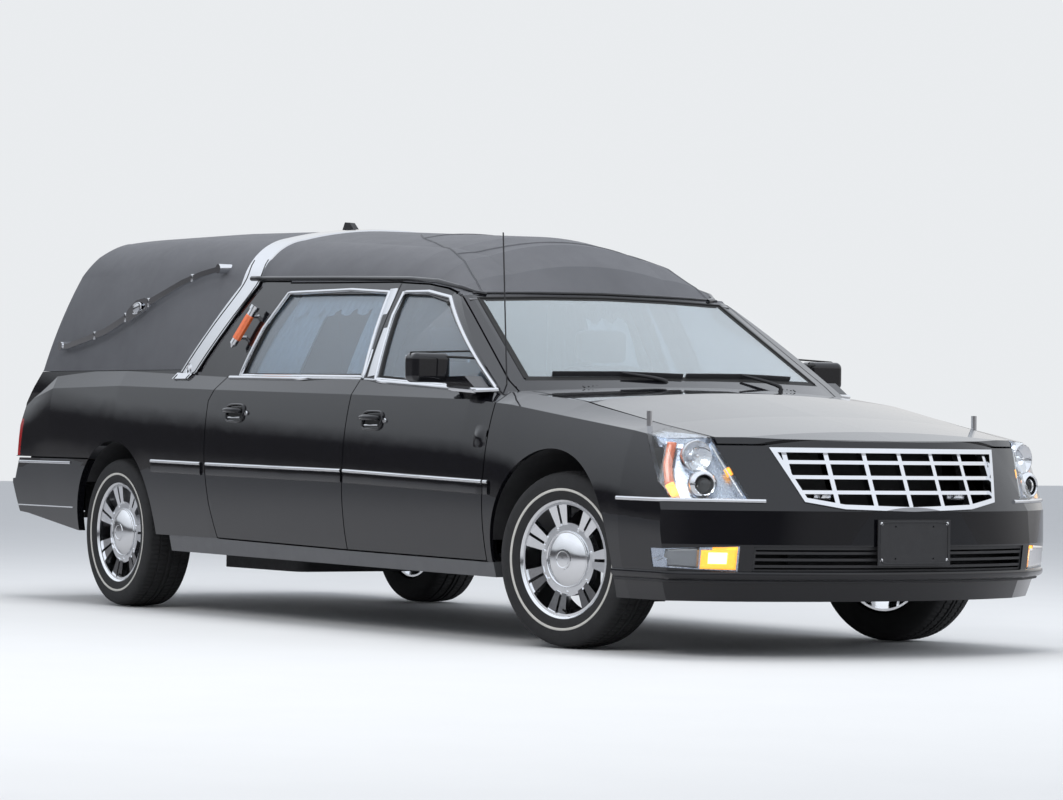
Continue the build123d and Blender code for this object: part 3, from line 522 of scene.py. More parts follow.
# A skin over each front door's upper hinge, which swells over the pin
SKIN_X, SKIN_LONG, SKIN_Z, SKIN_TALL, SKIN_THICK = 1.386, 0.088, 0.775, 0.090, 0.0012
SWELL_X, SWELL_Z, SWELL_LONG, SWELL_TALL, SWELL_OUT = 1.420, 0.820, 0.026, 0.030, 0.0078
SIDE_BACK, SIDE_AHEAD = 1.300, 1.385
cover, n = [], 24
for j in range(n + 1):
    z = SKIN_Z + SKIN_TALL * j / n
    back, ahead = (fall(door_f, (x, 0, z), "side")[0] for x in (SIDE_BACK, SIDE_AHEAD))
    for i in range(n + 1):
        x = SKIN_X + SKIN_LONG * i / n
        swell = math.exp(-((x - SWELL_X) / SWELL_LONG) ** 2 - ((z - SWELL_Z) / SWELL_TALL) ** 2)
        edge = min(1, i / 4, 4 * j / n, 4 * (n - j) / n)
        out = Vector((0, SKIN_THICK / 2 - SKIN_THICK * edge - SWELL_OUT * swell, 0))
        cover.append(back.lerp(ahead, (x - SIDE_BACK) / (SIDE_AHEAD - SIDE_BACK)) + out)
quads = [(j * (n + 1) + i, j * (n + 1) + i + 1, (j + 1) * (n + 1) + i + 1, (j + 1) * (n + 1) + i)
    for j in range(n) for i in range(n)]
both("hinge_skin", *closed(cover, quads, Vector((0, SKIN_THICK, 0))), PAINT, "front_door_S",
    "black_paint", 60)

# Door handles: a dark cup, a painted ring, a pull, a bright line and the lock
for name, surface, body, x, z in (("rear", door_r, "rear_door_S", -0.644, 0.906),
        ("front", door_f, "front_door_S", 0.570, 0.879)):
    hit, normal = fall(surface, (x, 0, z), "side")
    both("handle_cup_" + name, *patch(surface, [(x - .062, 0, z - .026), (x + .062, 0, z - .026),
        (x + .062, 0, z + .026), (x - .062, 0, z + .026)], "side", 0.012, 0.0012), SEAL, body,
        "black_plastic")
    both("handle_ring_" + name, *strip_mesh(ring_spots(surface, (x, z), (0.077, 0.037), 0.45,
        "side"), 0.012, 0.010, closed=True), PAINT, body, "black_paint")
    pull = [hit + Vector((dx, dy, dz)) for dx, dy, dz in ((-.062, .002, .010), (-.058, -.022, .011),
        (-.040, -.034, .012), (0, -.038, .013), (.040, -.034, .012), (.058, -.022, .011),
        (.062, .002, .010))]
    both("handle_pull_" + name, *tube(smooth_path(pull, 0.006),
        lambda t: 0.0125 - 0.003 * abs(2 * t - 1), 14), PAINT, body, "black_paint", 180)
    both("handle_glint_" + name, *strip_mesh(drop(surface, side_path([(x - .055, z - .020),
        (x + .055, z - .020)], 0.01)), 0.010, 0.008), CHROME, body, "chrome")
    behind = Matrix.Translation(hit + Vector((0.097, -0.0045, 0)))
    lock = lathe([(0, 0), (0.010, 0), (0.011, -0.003), (0.0112, -0.006)], 20,
        behind @ Matrix.Rotation(math.pi / 2, 4, "X"))
    both("door_lock_" + name, *lock, CHROME, body, "chrome")

# Vinyl roof: sewn seams, header, band edging and a bare oval on the band
SEAMS = {
    "seam_front": [(0.905, -.575), (0.78, -.555), (0.60, -.51), (0.38, -.45), (0.14, -.37),
                   (-0.10, -.29), (-0.28, -.2)],
    "seam_cross": [(-0.10, -.29), (-0.14, -.15), (-0.15, 0.0)],
    "seam_bow": [(0.50, -.485), (0.545, -.30), (0.565, 0.0)]}
for name, pts in SEAMS.items():
    path = smooth_path([(x, y, 0) for x, y in pts], 0.02)
    both(name, *strip_mesh(drop(roof_t, path, "top"), 0.009, 0.0032), VINYL, "body", "vinyl")
    both(name + "_thread", *strip_mesh(drop(roof_t, path, "top"), 0.0016, 0.0008, lift=0.003), SEAL,
        "body", "vinyl")
header = front_path([(-0.615, 1.412), (-0.45, 1.418), (-0.3, 1.4215), (0.0, 1.4255)])
both("header_moulding", *strip_mesh(drop(roof_t, header, "front"), 0.014, 0.007), PAINT, "body",
    "black_paint")
BAND = [(-1.264, 1.062), (-1.078, 1.282), (-0.930, 1.486), (-0.950, 1.601)]
for name, dx in (("rear", -0.058), ("front", 0.060)):
    path = smooth_path([(x + dx, 0, z) for x, z in BAND], 0.02)
    both("band_edging_" + name, *strip_mesh(drop(roof_t, path), 0.006, 0.0022), SEAL, "body",
        "black_plastic")
hit, normal = fall(roof_t, (-1.240, 0, 1.105), "side")
facing = normal.to_track_quat("Z", "Y").to_matrix().to_4x4()
oval = Matrix.Translation(hit) @ facing @ Matrix.Diagonal((0.72, 1.0, 1.0, 1.0))
both("band_oval", *lathe([(0, .004), (.017, .0035), (.020, .002), (.022, .0045), (.026, .005),
    (.028, .001), (.0285, -.001)], 32, oval), CHROME, "body", "chrome")

# Collars and a plain middle plate on each landau bar
for name, x, z, r in (("low", -2.20, 1.270, .019), ("mid_low", -1.925, 1.352, .022),
        ("mid_high", -1.745, 1.419, .022), ("high", -1.42, 1.528, .018)):
    hit, normal = fall(landau_t, (x, 0, z), "side") or (Vector((x, -0.85, z)), Vector((0, -1, 0)))
    both("landau_collar_" + name, *rounded_box((x - .008, hit.y - .002, z - r),
        (x + .008, hit.y + .014, z + r), .003), CHROME, "body", "chrome")
hit, normal = fall(landau_t, (-1.835, 0, 1.394), "side")
tilt = Matrix.Rotation(math.radians(-16), 4, "Y") @ Matrix.Rotation(math.pi / 2, 4, "X")
plate = Matrix.Translation(hit) @ tilt @ Matrix.Diagonal((2.1, 1.0, 1.0, 1.0))
both("landau_plate", *lathe([(0, .005), (.012, .0045), (.018, .002), (.021, .0045), (.0245, .004),
    (.026, -.001)], 40, plate), CHROME, "body", "chrome")

# Coach lamps: amber glass and a bright tip
a, b = Vector((-0.826, -0.846, 1.216)), Vector((-0.752, -0.786, 1.368))
glass = [a.lerp(b, t) for t in (0.14, 0.16, 0.5, 0.82, 0.84)]
both("coach_lamp_glass", *tube(glass, lambda t: 0.0205 if 0.2 < t < 0.9 else 0.018, 8), AMBER,
    "body", "lamp_red", 10)
both("coach_lamp_tip", *tube([a, a.lerp(b, -0.04), a.lerp(b, -0.10)],
    lambda t: 0.018 * (1 - 0.75 * t), 12), CHROME, "body", "chrome")

# Headlamps: a bowl behind the clear lens with two round lamps and an amber side strip
lens_t, fog_t = tree("headlamp_lenses"), tree("fog_lamps")


def bowl(surface, outline, cast, step, edge, depth):
    # A sheet that lies depth behind the surface, and edge behind it along the rim.
    verts, faces = patch(surface, outline, cast, step, -edge)
    deep, _ = patch(surface, outline, cast, step, -depth)
    rim = {i for e in rim_edges(faces) for i in e}
    return [verts[i] if i in rim else deep[i] for i in range(len(verts))], faces


LENS_EDGE = [(0, -0.641, 0.598), (0, -0.912, 0.598), (0, -0.850, 0.860), (0, -0.720, 0.840)]
for o in both("headlamp_bowl", *bowl(lens_t, LENS_EDGE, "front", 0.007, 0.004, 0.040), SILVER,
        "body", "lamp_body", 30):
    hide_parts("headlamps")
AIM = Matrix.Rotation(math.radians(-14), 4, "Z") @ Matrix.Rotation(math.pi / 2, 4, "Y")
UP_LAMP, LOW_LAMP = Vector((2.738, -0.776, 0.757)), Vector((2.782, -0.774, 0.652))
UP_PLACE, LOW_PLACE = Matrix.Translation(UP_LAMP) @ AIM, Matrix.Translation(LOW_LAMP) @ AIM
both("headlamp_reflector", *lathe([(0, -.022), (.018, -.020), (.036, -.010), (.050, .006),
    (.054, .010), (.058, .010), (.060, .002), (.060, -.02)], 40, UP_PLACE), REFLECTOR, "body",
    "lamp_body")
both("headlamp_bulb", *lathe([(0, .014), (.007, .012), (.010, .006), (.010, -.02)], 20, UP_PLACE),
    CHROME, "body", "lamp_body")
both("projector_bezel", *lathe([(.036, -.01), (.037, .014), (.041, .018), (.050, .012),
    (.055, .002), (.056, -.02)], 40, LOW_PLACE), REFLECTOR, "body", "lamp_body")
both("projector_glass", *lathe([(0, .020), (.012, .0185), (.024, .013), (.033, .004),
    (.036, -.008)], 36, LOW_PLACE), LENS, "body", "lens", 180)
both("projector_dark", *lathe([(0, -.006), (.034, -.006), (.0365, .012)], 36, LOW_PLACE), DARK,
    "body", "black_plastic")


def lens_strip(points, width, height, lift):
    return strip_mesh(drop(lens_t, front_path(points, 0.01), "front"), width, height, lift=lift)


both("side_marker", *lens_strip([(-0.876, 0.655), (-0.868, 0.727), (-0.840, 0.812)], 0.036, 0.006,
    -0.012), AMBER, "body", "lamp_red", 180)
both("side_marker_lit", *lens_strip([(-0.868, 0.608), (-0.876, 0.656)], 0.037, 0.008, -0.012), LIT,
    "body", "lamp_red", 180)
both("inner_amber", *lens_strip([(-0.682, 0.690), (-0.689, 0.716)], 0.026, 0.010, -0.012), LIT,
    "body", "lamp_red", 180)
both("lens_glint", *lens_strip([(-0.662, 0.612), (-0.7215, 0.800)], 0.008, 0.004, -0.006), CHROME,
    "body", "chrome")
strip_spots = around(bumper_t, (2.0, 0.0), lambda t: 0.589 + 0.007 * t, -14, -66, 90)
both("lamp_moulding", *strip_mesh(strip_spots[14:], 0.016, 0.009, sink=0.002), CHROME, "body",
    "chrome")

# Fog and turn lamps
FOG_IN = [(0, -0.692, 0.336), (0, -0.800, 0.338), (0, -0.800, 0.419), (0, -0.692, 0.422)]
FOG_OUT = [(0, -0.806, 0.340), (0, -0.915, 0.348), (0, -0.910, 0.410), (0, -0.806, 0.418)]
both("turn_lamp", *patch(fog_t, FOG_IN, "front", 0.010, 0.0008, 0.004), LIT, "body", "lamp_red",
    180)
both("turn_lamp_heart", *patch(fog_t, [(0, -0.722, 0.358), (0, -0.778, 0.358), (0, -0.778, 0.400),
    (0, -0.722, 0.400)], "front", 0.010, 0.0022, 0.002), BULB, "body", "lamp_red", 180)
both("marker_glass", *patch(fog_t, FOG_OUT, "front", 0.010, 0.0008, 0.004), SMOKED, "body",
    "lamp_body", 180)
both("fog_cover", *patch(fog_t, [(0, -0.688, 0.332), (0, -0.920, 0.345), (0, -0.915, 0.412),
    (0, -0.688, 0.424)], "front", 0.012, 0.0032, 0.0015), LENS, "body", "lens", 180)

# Front bumper: lip lines, grille backing, two small lamps, the blank plate's screws and rim
lip = around(bumper_t, (1.9, 0.0), 0.316, -90, 90, 200)
add("bumper_lip", *strip_mesh(lip, 0.030, 0.010), PAINT, "body", "black_paint")
lip = around(bumper_t, (1.9, 0.0), 0.292, -62, 62, 160)
add("bumper_lip_line", *strip_mesh(lip, 0.012, 0.006), PLASTIC, "body", "black_plastic")
add("lower_grille_back", *rounded_box((2.828, -.60, .318), (2.834, .60, .432), .002), DARK, "body",
    "black_plastic")
both("grille_lamp", *rounded_box((2.905, -.365, .600), (2.925, -.265, .626), .006), REFLECTOR,
    "body", "lamp_body")
for i, (y, z) in enumerate(((-.155, .375), (.155, .375), (-.155, .512), (.155, .512))):
    head = Matrix.Translation((3.068, y, z)) @ Matrix.Rotation(math.pi / 2, 4, "Y")
    add("plate_screw_%d" % i, *lathe([(0, .0022), (.004, .002), (.0065, .0008), (.007, -.0005)], 18,
        head), CHROME, "body", "chrome")
add("plate_rim", *strip_mesh(ring_spots(tree("plate_bracket"), (0.0, 0.440), (0.160, 0.078), 0.18,
    "front", 72), 0.006, 0.003, closed=True), PLASTIC, "body", "black_plastic")

# Wheels: tread, whitewall, rim lip, cap ring, blank cap disc, studs and valve
STEER, KINGPIN, FRONT_OUT, REAR_OUT = math.radians(13.9), 0.718, 0.0695, 0.791
FRONT_X, REAR_X, AXLE_Z = 1.95, -1.85, 0.347
WHEELS = []
for side, s in SIDES:
    turn = Matrix.Rotation(STEER, 4, "Z")
    knuckle = Matrix.Translation((FRONT_X, s * KINGPIN, AXLE_Z)) @ turn
    front = knuckle @ Matrix.Translation((0, s * FRONT_OUT, 0))
    rear = Matrix.Translation((REAR_X, s * REAR_OUT, AXLE_Z))
    WHEELS += [("front_" + side, "front_wheel_" + side, s, front),
        ("rear_" + side, "rear_wheel_" + side, s, rear)]
TREAD = [(-.098, .3365), (-.090, .340), (-.062, .3435), (-.060, .3365), (-.052, .3365),
    (-.050, .3440), (-.018, .3450), (-.016, .3375), (-.007, .3375), (-.005, .3452), (.005, .3452),
    (.007, .3375), (.016, .3375), (.018, .3450), (.050, .3440), (.052, .3365), (.060, .3365),
    (.062, .3435), (.090, .340), (.098, .3365)]
WALL_OUT = [(-.1035, .2312), (-.1075, .236), (-.1125, .262), (-.1150, .285), (-.1162, .305),
    (-.1120, .322), (-.1050, .333)]
# The tread is cut into PITCHES blocks round the tyre, each with a slot outside the centre rib.
PITCHES, STEPS = 90, 4
SLOT_DEEP, TREAD_R, WALL_R, RIB, SKEW, SKEW_AT = 0.0055, 0.3388, 0.33, 0.017, 0.010, 0.1
tyre_profile = WALL_OUT + TREAD + [(-y, r) for y, r in reversed(WALL_OUT)]


def tyre_mesh(place):
    verts, faces = [], []
    k, n = len(tyre_profile), PITCHES * STEPS
    for i in range(n):
        t = 2 * math.pi * i / n
        slot_here = i % STEPS == STEPS - 1
        for y, r in tyre_profile:
            deep = SLOT_DEEP if slot_here and r > TREAD_R and abs(y) > RIB else 0.0
            skew = SKEW * abs(y) / SKEW_AT * (1 if r > WALL_R else 0)
            verts.append(place @ Vector(((r - deep) * math.cos(t + skew), y,
                (r - deep) * math.sin(t + skew))))
    for i in range(n):
        a, b = i * k, ((i + 1) % n) * k
        faces += [(a + j, a + j + 1, b + j + 1, b + j) for j in range(k - 1)]
    return verts, faces


STUDS, STUD_R = 7, .128
for name, body, s, place in WHEELS:
    out = place @ Matrix.Rotation(-s * math.pi / 2, 4, "X")
    tyre = add("tyre_" + name, *tyre_mesh(place), RUBBER, body, "rubber", 50)
    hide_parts("%s_tyre_%s" % tuple(name.split("_")))
    add("whitewall_" + name, *lathe([(.2665, .1125), (.2672, .1145), (.2760, .1158),
        (.2768, .1138)], 128, out), WHITEWALL, body, "rubber", 180)
    add("cap_ring_" + name, *lathe([(.1035, .0795), (.1045, .084), (.108, .0855), (.1115, .083),
        (.112, .0765)], 96, out), WHEEL, body, "wheel_chrome", 180)
    add("cap_disc_" + name, *lathe([(0, .1066), (.020, .1062), (.0300, .1052), (.0325, .1068),
        (.0400, .1062), (.0425, .1020)], 64, out), WHEEL, body, "wheel_chrome", 30)
    lip_profile = [(.2195, .060), (.2205, .094), (.2250, .0985), (.2310, .1010), (.2330, .1045),
        (.2345, .1050), (.2350, .1035)]
    add("rim_lip_" + name, *lathe(lip_profile, 128, out), WHEEL, body, "wheel_chrome", 60)
    for i in range(STUDS):
        t = 2 * math.pi * (i + 0.5) / STUDS
        spot = out @ Matrix.Translation((STUD_R * math.cos(t + math.pi / 2),
            STUD_R * math.sin(t + math.pi / 2), .0755))
        add("hub_stud_%s_%d" % (name, i), *lathe([(0, .0035), (.006, .003), (.0085, .001),
            (.009, -.001)], 20, spot), WHEEL, body, "wheel_chrome", 40)
    valve = out @ Matrix.Translation((0, -.205, .082)) @ Matrix.Rotation(-0.5, 4, "X")
    add("valve_" + name, *lathe([(0, .022), (.003, .022), (.004, .018), (.004, 0)], 14, valve),
        SEAL, body, "black_plastic")

# Wipers, cowl slots, and the dark border and seal of the windscreen
screen_t, cowl_t = tree("windscreen"), tree("cowl", "windscreen")
for name, y0, y1, pivot in (("right", -0.60, -0.04, -0.30), ("left", -0.02, 0.56, 0.26)):
    low = front_path([(y0, 1.068), ((y0 + y1) / 2, 1.072), (y1, 1.066)])
    add("wiper_blade_" + name, *strip_mesh(drop(screen_t, low, "front"), 0.010, 0.020, lift=0.001),
        PLASTIC, "body", "black_plastic")
    mid = fall(screen_t, (0, (y0 + y1) / 2, 1.072), "front")[0] + Vector((0.022, 0, 0.012))
    base = fall(cowl_t, (1.60 if abs(pivot) < 0.28 else 1.585, pivot + 0.16, 0), "top")[0]
    arm = smooth_path([base + Vector((0, 0, -.004)), base + Vector((0, 0, .018)),
        base.lerp(mid, 0.35) + Vector((0, 0, .016)), mid])
    add("wiper_arm_" + name, *tube(arm, lambda t: 0.010 - 0.005 * t, 10), PLASTIC, "body",
        "black_plastic", 60)
both("cowl_slots", *join(*[strip_mesh(drop(tree("cowl"), [(1.53 + dx, y, 0)
    for dx in (0.0, .012, .024, .036)], "top"), 0.008, 0.002) for y in [-0.52 + 0.02 * k
    for k in range(24)]]), PLASTIC, "body", "black_plastic")
border = dense([(0, -0.718, 1.051), (0, -0.608, 1.391), (0, -0.3, 1.401), (0, 0, 1.405)], 0.03)
low_border = dense([(0, 0, 1.061), (0, -0.3, 1.059), (0, -0.718, 1.051)], 0.03)
both("screen_border", *join(strip_mesh(drop(screen_t, border, "front"), 0.045, 0.0012,
    profile=FLAT), strip_mesh(drop(screen_t, low_border, "front"), 0.045, 0.0012, profile=FLAT)),
    SEAL, "body", "black_plastic")
both("screen_seal", *strip_mesh(drop(tree("screen_frame", "windscreen", "roof"), border, "front"),
    0.010, 0.005, lift=0.002), SEAL, "body", "black_plastic")

# Door mirrors and inner door panels
both("mirror_glass", *rounded_box((1.0605, -1.062, 1.046), (1.0635, -0.908, 1.144), .0014), MIRROR,
    "front_door_S", "chrome")
both("mirror_seam", *strip_mesh([(Vector((1.118, -0.985 + 0.0878 * c, 1.093)), Vector((0, 0, 1)))
    for c in [-0.9 + 0.1 * k for k in range(19)]], 0.003, 0.001), SEAL, "front_door_S",
    "black_plastic")
for name, surface, body, x0, x1 in (("rear", door_r, "rear_door_S", -0.74, 0.22),
        ("front", door_f, "front_door_S", 0.46, 1.34)):
    panel = [(x0, 0, 0.44), (x1, 0, 0.44), (x1, 0, 0.96), (x0, 0, 0.96)]
    both("door_panel_" + name, *patch(surface, panel, "inside", 0.05, 0.004, 0.006), LEATHER, body,
        "seat", 40)
    rest = fall(surface, ((x0 + x1) / 2, 0, 0.72), "inside")[0]
    both("armrest_" + name, *rounded_box((rest.x - .26, rest.y - .004, .690),
        (rest.x + .26, rest.y + .050, .745), .018), LEATHER, body, "seat", 50)
    both("door_pull_" + name, *tube(smooth_path([rest + Vector(v)
        for v in ((.20, 0, .10), (.19, .028, .10), (.14, .028, .11), (.12, 0, .11))], 0.008), .006,
        10), CHROME, body, "chrome")

# Front seats: crowned cushions with sewn channels


def cushion(lo, hi, place=Matrix(), crown=0.02, channels=0, power=0.34):
    # A rounded block with a crown and sewn channels. The lower the power, the squarer.
    lo, hi = Vector(lo), Vector(hi)
    mid, half = (lo + hi) / 2, (hi - lo) / 2
    verts, faces = [], []
    rows, cols = 36, 64
    for i in range(rows + 1):
        lat = math.pi * (i / rows - 0.5)
        for j in range(cols):
            lon = 2 * math.pi * j / cols
            c, s = abs(math.cos(lat)) ** power, math.copysign(abs(math.sin(lat)) ** power,
                math.sin(lat))
            x = math.copysign(abs(math.cos(lon)) ** power, math.cos(lon)) * c
            y = math.copysign(abs(math.sin(lon)) ** power, math.sin(lon)) * c
            p = Vector((x * half.x, y * half.y, s * half.z))
            p.z += crown * s * (1 - x * x) * (1 - y * y) - crown * max(0, s)
            if channels and s > 0.5:
                p.z -= 0.008 * max(0, 1 - abs((y * channels) % 1 - 0.5) / 0.12) * (1
                    - abs(x)) ** 0.25
            verts.append(place @ (mid + p))
    for i in range(rows):
        for j in range(cols):
            k = (j + 1) % cols
            faces.append((i * cols + j, i * cols + k, (i + 1) * cols + k, (i + 1) * cols + j))
    return verts, faces


BACK = Matrix.Translation((0.40, -0.37, 0.835)) @ Matrix.Rotation(math.radians(-14 + 90), 4, "Y")
seat_parts = (("cushion", cushion((.445, -.615, .462), (.955, -.125, .585), channels=3)),
    ("back", cushion((-.305, -.245, -.052), (.305, .245, .055), BACK, channels=3)),
    ("headrest", cushion((-.072, -.122, -.038), (.072, .122, .038),
    Matrix.Translation((.322, -.37, 1.215)) @ Matrix.Rotation(math.pi / 2, 4, "Y"))))
for name, data in seat_parts:
    made = both("seat_" + name, *data, LEATHER, "body", "seat", 180)
    if name == "cushion":
        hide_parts("front_seats")
both("seat_base", *rounded_box((.48, -.57, .3345), (.90, -.17, .476), .02), PLASTIC, "body",
    "black_plastic")
both("headrest_posts", *join(tube([(.345, -.42, 1.05), (.330, -.42, 1.19)], .006),
    tube([(.345, -.32, 1.05), (.330, -.32, 1.19)], .006)), CHROME, "body", "chrome")

# Curtains behind the rear side windows: two gathered drapes and a scalloped valance


PANE_BACK, PANE_AHEAD = -0.50, 0.10
CURTAIN_LEAN, CURTAIN_FOOT, CURTAIN_FRONT = 0.42, 1.08, 0.25


def pane_y(x, z):
    # The pane runs nearly straight along the car.
    back, ahead = (fall(full_r, (at, 0, z), "side")[0].y for at in (PANE_BACK, PANE_AHEAD))
    return back + (ahead - back) * (x - PANE_BACK) / (PANE_AHEAD - PANE_BACK)


def curtain(x0, x1, top, low, y, pleat, amplitude, pull):
    # Pleats from top to low(u), y behind the pane. Gives the mesh, the flat sizes and the area.
    rows, cols = 26, max(40, int(abs(x1 - x0) / pleat * 12))
    verts = []
    for i in range(rows + 1):
        v = i / rows
        for j in range(cols + 1):
            u = j / cols
            x = x0 + (x1 - x0) * u
            z = top + (low(u) - top) * v
            x += pull * math.sin(math.pi * 0.55 * v) * (1 - u if pull < 0 else u)
            a = amplitude * (0.6 + 0.4 * v) * math.sin(2 * math.pi * u * abs(x1 - x0) / pleat + 0.7
                * math.sin(5 * u))
            x += CURTAIN_LEAN * (z - CURTAIN_FOOT) * (CURTAIN_FRONT - x)
            verts.append(Vector((x, pane_y(x, z) + y + a, z)))
    w = cols + 1
    faces = [(i * w + j, i * w + j + 1, (i + 1) * w + j + 1, (i + 1) * w + j) for i in range(rows)
        for j in range(cols)]
    mid = rows // 2 * w
    across = sum((verts[mid + j + 1] - verts[mid + j]).length for j in range(cols))
    tall = [sum((verts[(i + 1) * w + j] - verts[i * w + j]).length for i in range(rows))
        for j in range(cols + 1)]
    return (verts, faces), (across, max(tall)), across * sum(tall) / len(tall)


for name, args in (("drape_rear", (-0.69, -0.34, 1.424, lambda u: 1.080, 0.062, 0.040, 0.012,
        -0.06)), ("drape_front", (0.06, 0.25, 1.424, lambda u: 1.080, 0.062, 0.036, 0.012, 0.0)),
        ("valance", (-0.66, 0.25, 1.426, lambda u: 1.362 - 0.030 * abs(math.sin(math.pi * 6 * u)),
        0.042, 0.050, 0.005, 0.0))):
    data, flat, area = curtain(*args)
    for o in both("curtain_" + name, *data, CURTAIN, "rear_door_S", "seat", 180):
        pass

# Dashboard: gauge hood, vents, screen; casket deck rails
add("gauge_hood", *rounded_box((1.275, .20, .955), (1.40, .56, .995), .018), PLASTIC, "body",
    "black_plastic")
add("centre_screen", *rounded_box((1.243, -.11, .830), (1.262, .11, .930), .004), DARK, "body",
    "black_plastic")
add("dash_rail", *rounded_box((1.238, -.72, .868), (1.252, -.14, .880), .003), WOOD, "body", "deck")
both("dash_vent", *join(*[rounded_box((1.240, -.66, .895 + k * .012),
    (1.262, -.54, .900 + k * .012), .002) for k in range(3)]), PLASTIC, "body", "black_plastic")
both("deck_rail", *tube([(-2.78, -.565, .724), (0.10, -.565, .724)], .009, 12), CHROME, "body",
    "chrome", 60)
both("deck_strip", *join(*[tube([(-2.70, y, .7185), (0.06, y, .7185)], .004, 8)
    for y in (-.45, -.36, -.29)]), CHROME, "body", "chrome", 60)

# Tail: lamp bars, door handle, mouldings, blank plate recess, reflectors
for k in range(4):
    z = 0.722 + 0.038 * k
    both("tail_lamp_bar_%d" % k, *strip_mesh(drop(lamps_t, [(0, y, z)
        for y in [-.66 - .02 * i for i in range(10)]], "rear"), 0.010, 0.004), RED, "body",
        "lamp_red")
both("tail_lamp_frame", *strip_mesh(drop(lamps_t, dense([(0, -.655, .705), (0, -.815, .705),
    (0, -.80, .862), (0, -.655, .862), (0, -.655, .705)], 0.012)[:-1], "rear"), 0.008, 0.005,
    closed=True), CHROME, "body", "chrome")
line = [(0, y, 1.105) for y in [-.60 + .02 * i for i in range(61)]]
add("back_belt", *strip_mesh(drop(back_t, line, "rear"), 0.018, 0.006), CHROME, "back_door",
    "chrome")
hit = fall(back_t, (0, -0.46, 0.93), "rear")[0]
add("back_handle", *tube(smooth_path([hit + Vector(v) for v in ((.002, -.07, 0), (-.006, -.066, 0),
    (-.012, -.04, 0), (-.014, 0, 0), (-.012, .04, 0), (-.006, .066, 0), (.002, .07, 0))], .008),
    .010, 12), CHROME, "back_door", "chrome", 180)
add("back_window_trim", *strip_mesh(drop(tree("back_door", "back_glass"),
    dense([(0, -.465, 1.156), (0, -.404, 1.445), (0, .404, 1.445), (0, .465, 1.156),
    (0, -.465, 1.156)], 0.02)[:-1], "rear"), 0.016, 0.006, closed=True), CHROME, "back_door",
    "chrome")
add("plate_recess", *strip_mesh(ring_spots(back_t, (0.0, 0.745), (0.165, 0.088), 0.16, "rear", 72),
    0.010, 0.006, closed=True), CHROME, "back_door", "chrome")
add("plate_field", *patch(back_t, [(0, -.155, .668), (0, .155, .668), (0, .155, .822),
    (0, -.155, .822)], "rear", 0.03, 0.002, 0.001), PLASTIC, "back_door", "black_plastic")
for name, z, w in (("upper", 0.664, 0.014), ("lower", 0.452, 0.007)):
    for side, a0, a1 in (("right", 218, 246), ("left", 142, 114)):
        spots = around(rear_t, (-1.9, 0.0), z, a0, a1, 60)
        add("rear_bumper_line_%s_%s" % (name, side), *strip_mesh(spots, w, 0.006), CHROME, "body",
            "chrome")
both("rear_reflector", *rounded_box((-3.0625, -.70, .500), (-3.0515, -.60, .530), .004), RED,
    "body", "lamp_red")

# Floor, light and camera
FLOOR_HALF = 40
floor_mesh = bpy.data.meshes.new("floor")
corners = [(x * FLOOR_HALF, y * FLOOR_HALF, 0) for x, y in ((-1, -1), (1, -1), (1, 1), (-1, 1))]
floor_mesh.from_pydata(corners, [], [(0, 1, 2, 3)])
floor = bpy.data.objects.new("floor", floor_mesh)
bpy.context.scene.collection.objects.link(floor)
pale = material("studio_floor", (0.66, 0.67, 0.68), 0.75, 0, 0.02, 2.0, 0.05,
    (NOISE, 30.0, 0.05, 0.002))
floor_mesh.materials.append(pale)


def by_ray(node_tree, ray, seen, otherwise):
    # A colour that differs for one kind of light path.
    path = node_tree.nodes.new("ShaderNodeLightPath")
    mix = node_tree.nodes.new("ShaderNodeMix")
    mix.data_type = "RGBA"
    for end, value in (("A", otherwise), ("B", seen)):
        if isinstance(value, tuple):
            mix.inputs[end].default_value = (*value, 1)
        else:
            node_tree.links.new(value, mix.inputs[end])
    node_tree.links.new(path.outputs[ray], mix.inputs["Factor"])
    return mix.outputs["Result"]


# The floor's colour in reflections, the sky's light on matt surfaces, and the backdrop's colour
FLOOR_SHINE, SKY_LIGHT, BACKDROP = (0.40, 0.40, 0.41), (0.62, 0.65, 0.70), (0.82, 0.84, 0.86)
# The sky in reflections by height, beside the car (towards -Y) and behind it
BESIDE = ((0.0, (0.20, 0.20, 0.21)), (0.04, (0.06, 0.06, 0.065)), (0.10, (0.05, 0.05, 0.055)),
    (0.15, (0.55, 0.58, 0.62)), (0.50, (0.95, 1.0, 1.08)))
BEHIND = ((0.0, (0.30, 0.30, 0.31)), (0.03, (0.55, 0.55, 0.56)), (0.10, (0.80, 0.80, 0.80)),
    (0.30, (0.85, 0.88, 0.92)), (0.60, (0.95, 1.0, 1.08)))

shader = pale.node_tree.nodes["Principled BSDF"]
base = shader.inputs["Base Color"].links[0].from_socket
floor_color = by_ray(pale.node_tree, "Is Glossy Ray", FLOOR_SHINE, base)
pale.node_tree.links.new(floor_color, shader.inputs["Base Color"])

world = bpy.data.worlds.new("studio")
bpy.context.scene.world = world
world.use_nodes = True
wt = world.node_tree
sky = wt.nodes["Background"]
coord = wt.nodes.new("ShaderNodeTexCoord")
split = wt.nodes.new("ShaderNodeSeparateXYZ")
ramp, far = wt.nodes.new("ShaderNodeValToRGB"), wt.nodes.new("ShaderNodeValToRGB")
wt.links.new(coord.outputs["Generated"], split.inputs["Vector"])
wt.links.new(split.outputs["Z"], far.inputs["Fac"])
wt.links.new(split.outputs["Z"], ramp.inputs["Fac"])
for r, bands in ((ramp, BESIDE), (far, BEHIND)):
    while len(r.color_ramp.elements) < len(bands):
        r.color_ramp.elements.new(1.0)
    for element, (place, color) in zip(r.color_ramp.elements, bands):
        element.position, element.color = place, (*color, 1)
span = wt.nodes.new("ShaderNodeMapRange")
span.inputs["From Min"].default_value, span.inputs["From Max"].default_value = -0.1, 0.3
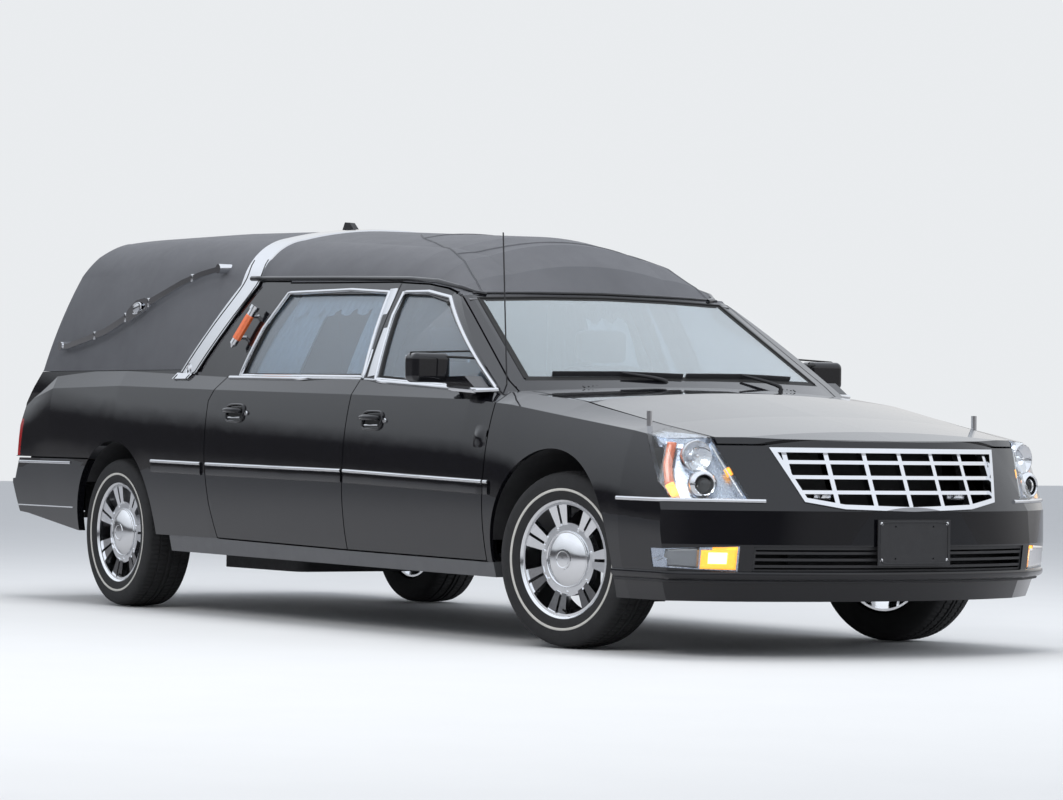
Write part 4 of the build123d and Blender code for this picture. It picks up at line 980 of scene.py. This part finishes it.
join_sides = wt.nodes.new("ShaderNodeMix")
join_sides.data_type = "RGBA"
wt.links.new(split.outputs["Y"], span.inputs["Value"])
wt.links.new(span.outputs["Result"], join_sides.inputs["Factor"])
wt.links.new(ramp.outputs["Color"], join_sides.inputs["A"])
wt.links.new(far.outputs["Color"], join_sides.inputs["B"])
shown = by_ray(wt, "Is Glossy Ray", join_sides.outputs["Result"], SKY_LIGHT)
for ray in ("Is Transmission Ray", "Is Camera Ray"):
    shown = by_ray(wt, ray, BACKDROP, shown)
wt.links.new(shown, sky.inputs["Color"])
sky.inputs["Strength"].default_value = 1.0


def lamp(name, place, target, size, power, color=(1, 1, 1)):
    data = bpy.data.lights.new(name, "AREA")
    data.shape, data.size, data.size_y = "RECTANGLE", size[0], size[1]
    data.energy, data.color = power, color
    o = bpy.data.objects.new(name, data)
    bpy.context.scene.collection.objects.link(o)
    o.location = place
    o.rotation_euler = (Vector(target) - Vector(place)).to_track_quat("-Z", "Y").to_euler()
    o.visible_glossy = False


lamp("key", (5.5, -7.5, 7.0), (0, 0, 0.6), (5, 4), 420, (1.0, 0.98, 0.95))
lamp("overhead", (0, 0, 8.5), (0, 0, 0), (9, 4), 520)
lamp("fill", (9, 5, 4), (0, 0, 0.6), (5, 3), 180, (0.94, 0.97, 1.0))

CAMERA_AT = (15.3965, -9.4639, 0.8463)
YAW, PITCH, ROLL, FOCAL_PX, IMAGE_W = 2.5805, 0.0074, 0.0126, 4098.8, 1063
camera = bpy.data.cameras.new("photo_camera")
camera.sensor_width = 36.0
camera.lens = FOCAL_PX / IMAGE_W * camera.sensor_width
camera.clip_end = 200
eye = bpy.data.objects.new("photo_camera", camera)
bpy.context.scene.collection.objects.link(eye)
ahead = Vector((math.cos(PITCH) * math.cos(YAW), math.cos(PITCH) * math.sin(YAW), math.sin(PITCH)))
across = ahead.cross(Vector((0, 0, 1))).normalized()
upward = across.cross(ahead)
rolled_x = across * math.cos(ROLL) + upward * math.sin(ROLL)
rolled_y = -across * math.sin(ROLL) + upward * math.cos(ROLL)
eye.matrix_world = Matrix([(rolled_x[i], rolled_y[i], -ahead[i], CAMERA_AT[i]) for i in range(3)]
    + [(0, 0, 0, 1)])
bpy.context.scene.camera = eye
bpy.context.scene.view_settings.view_transform = "Standard"
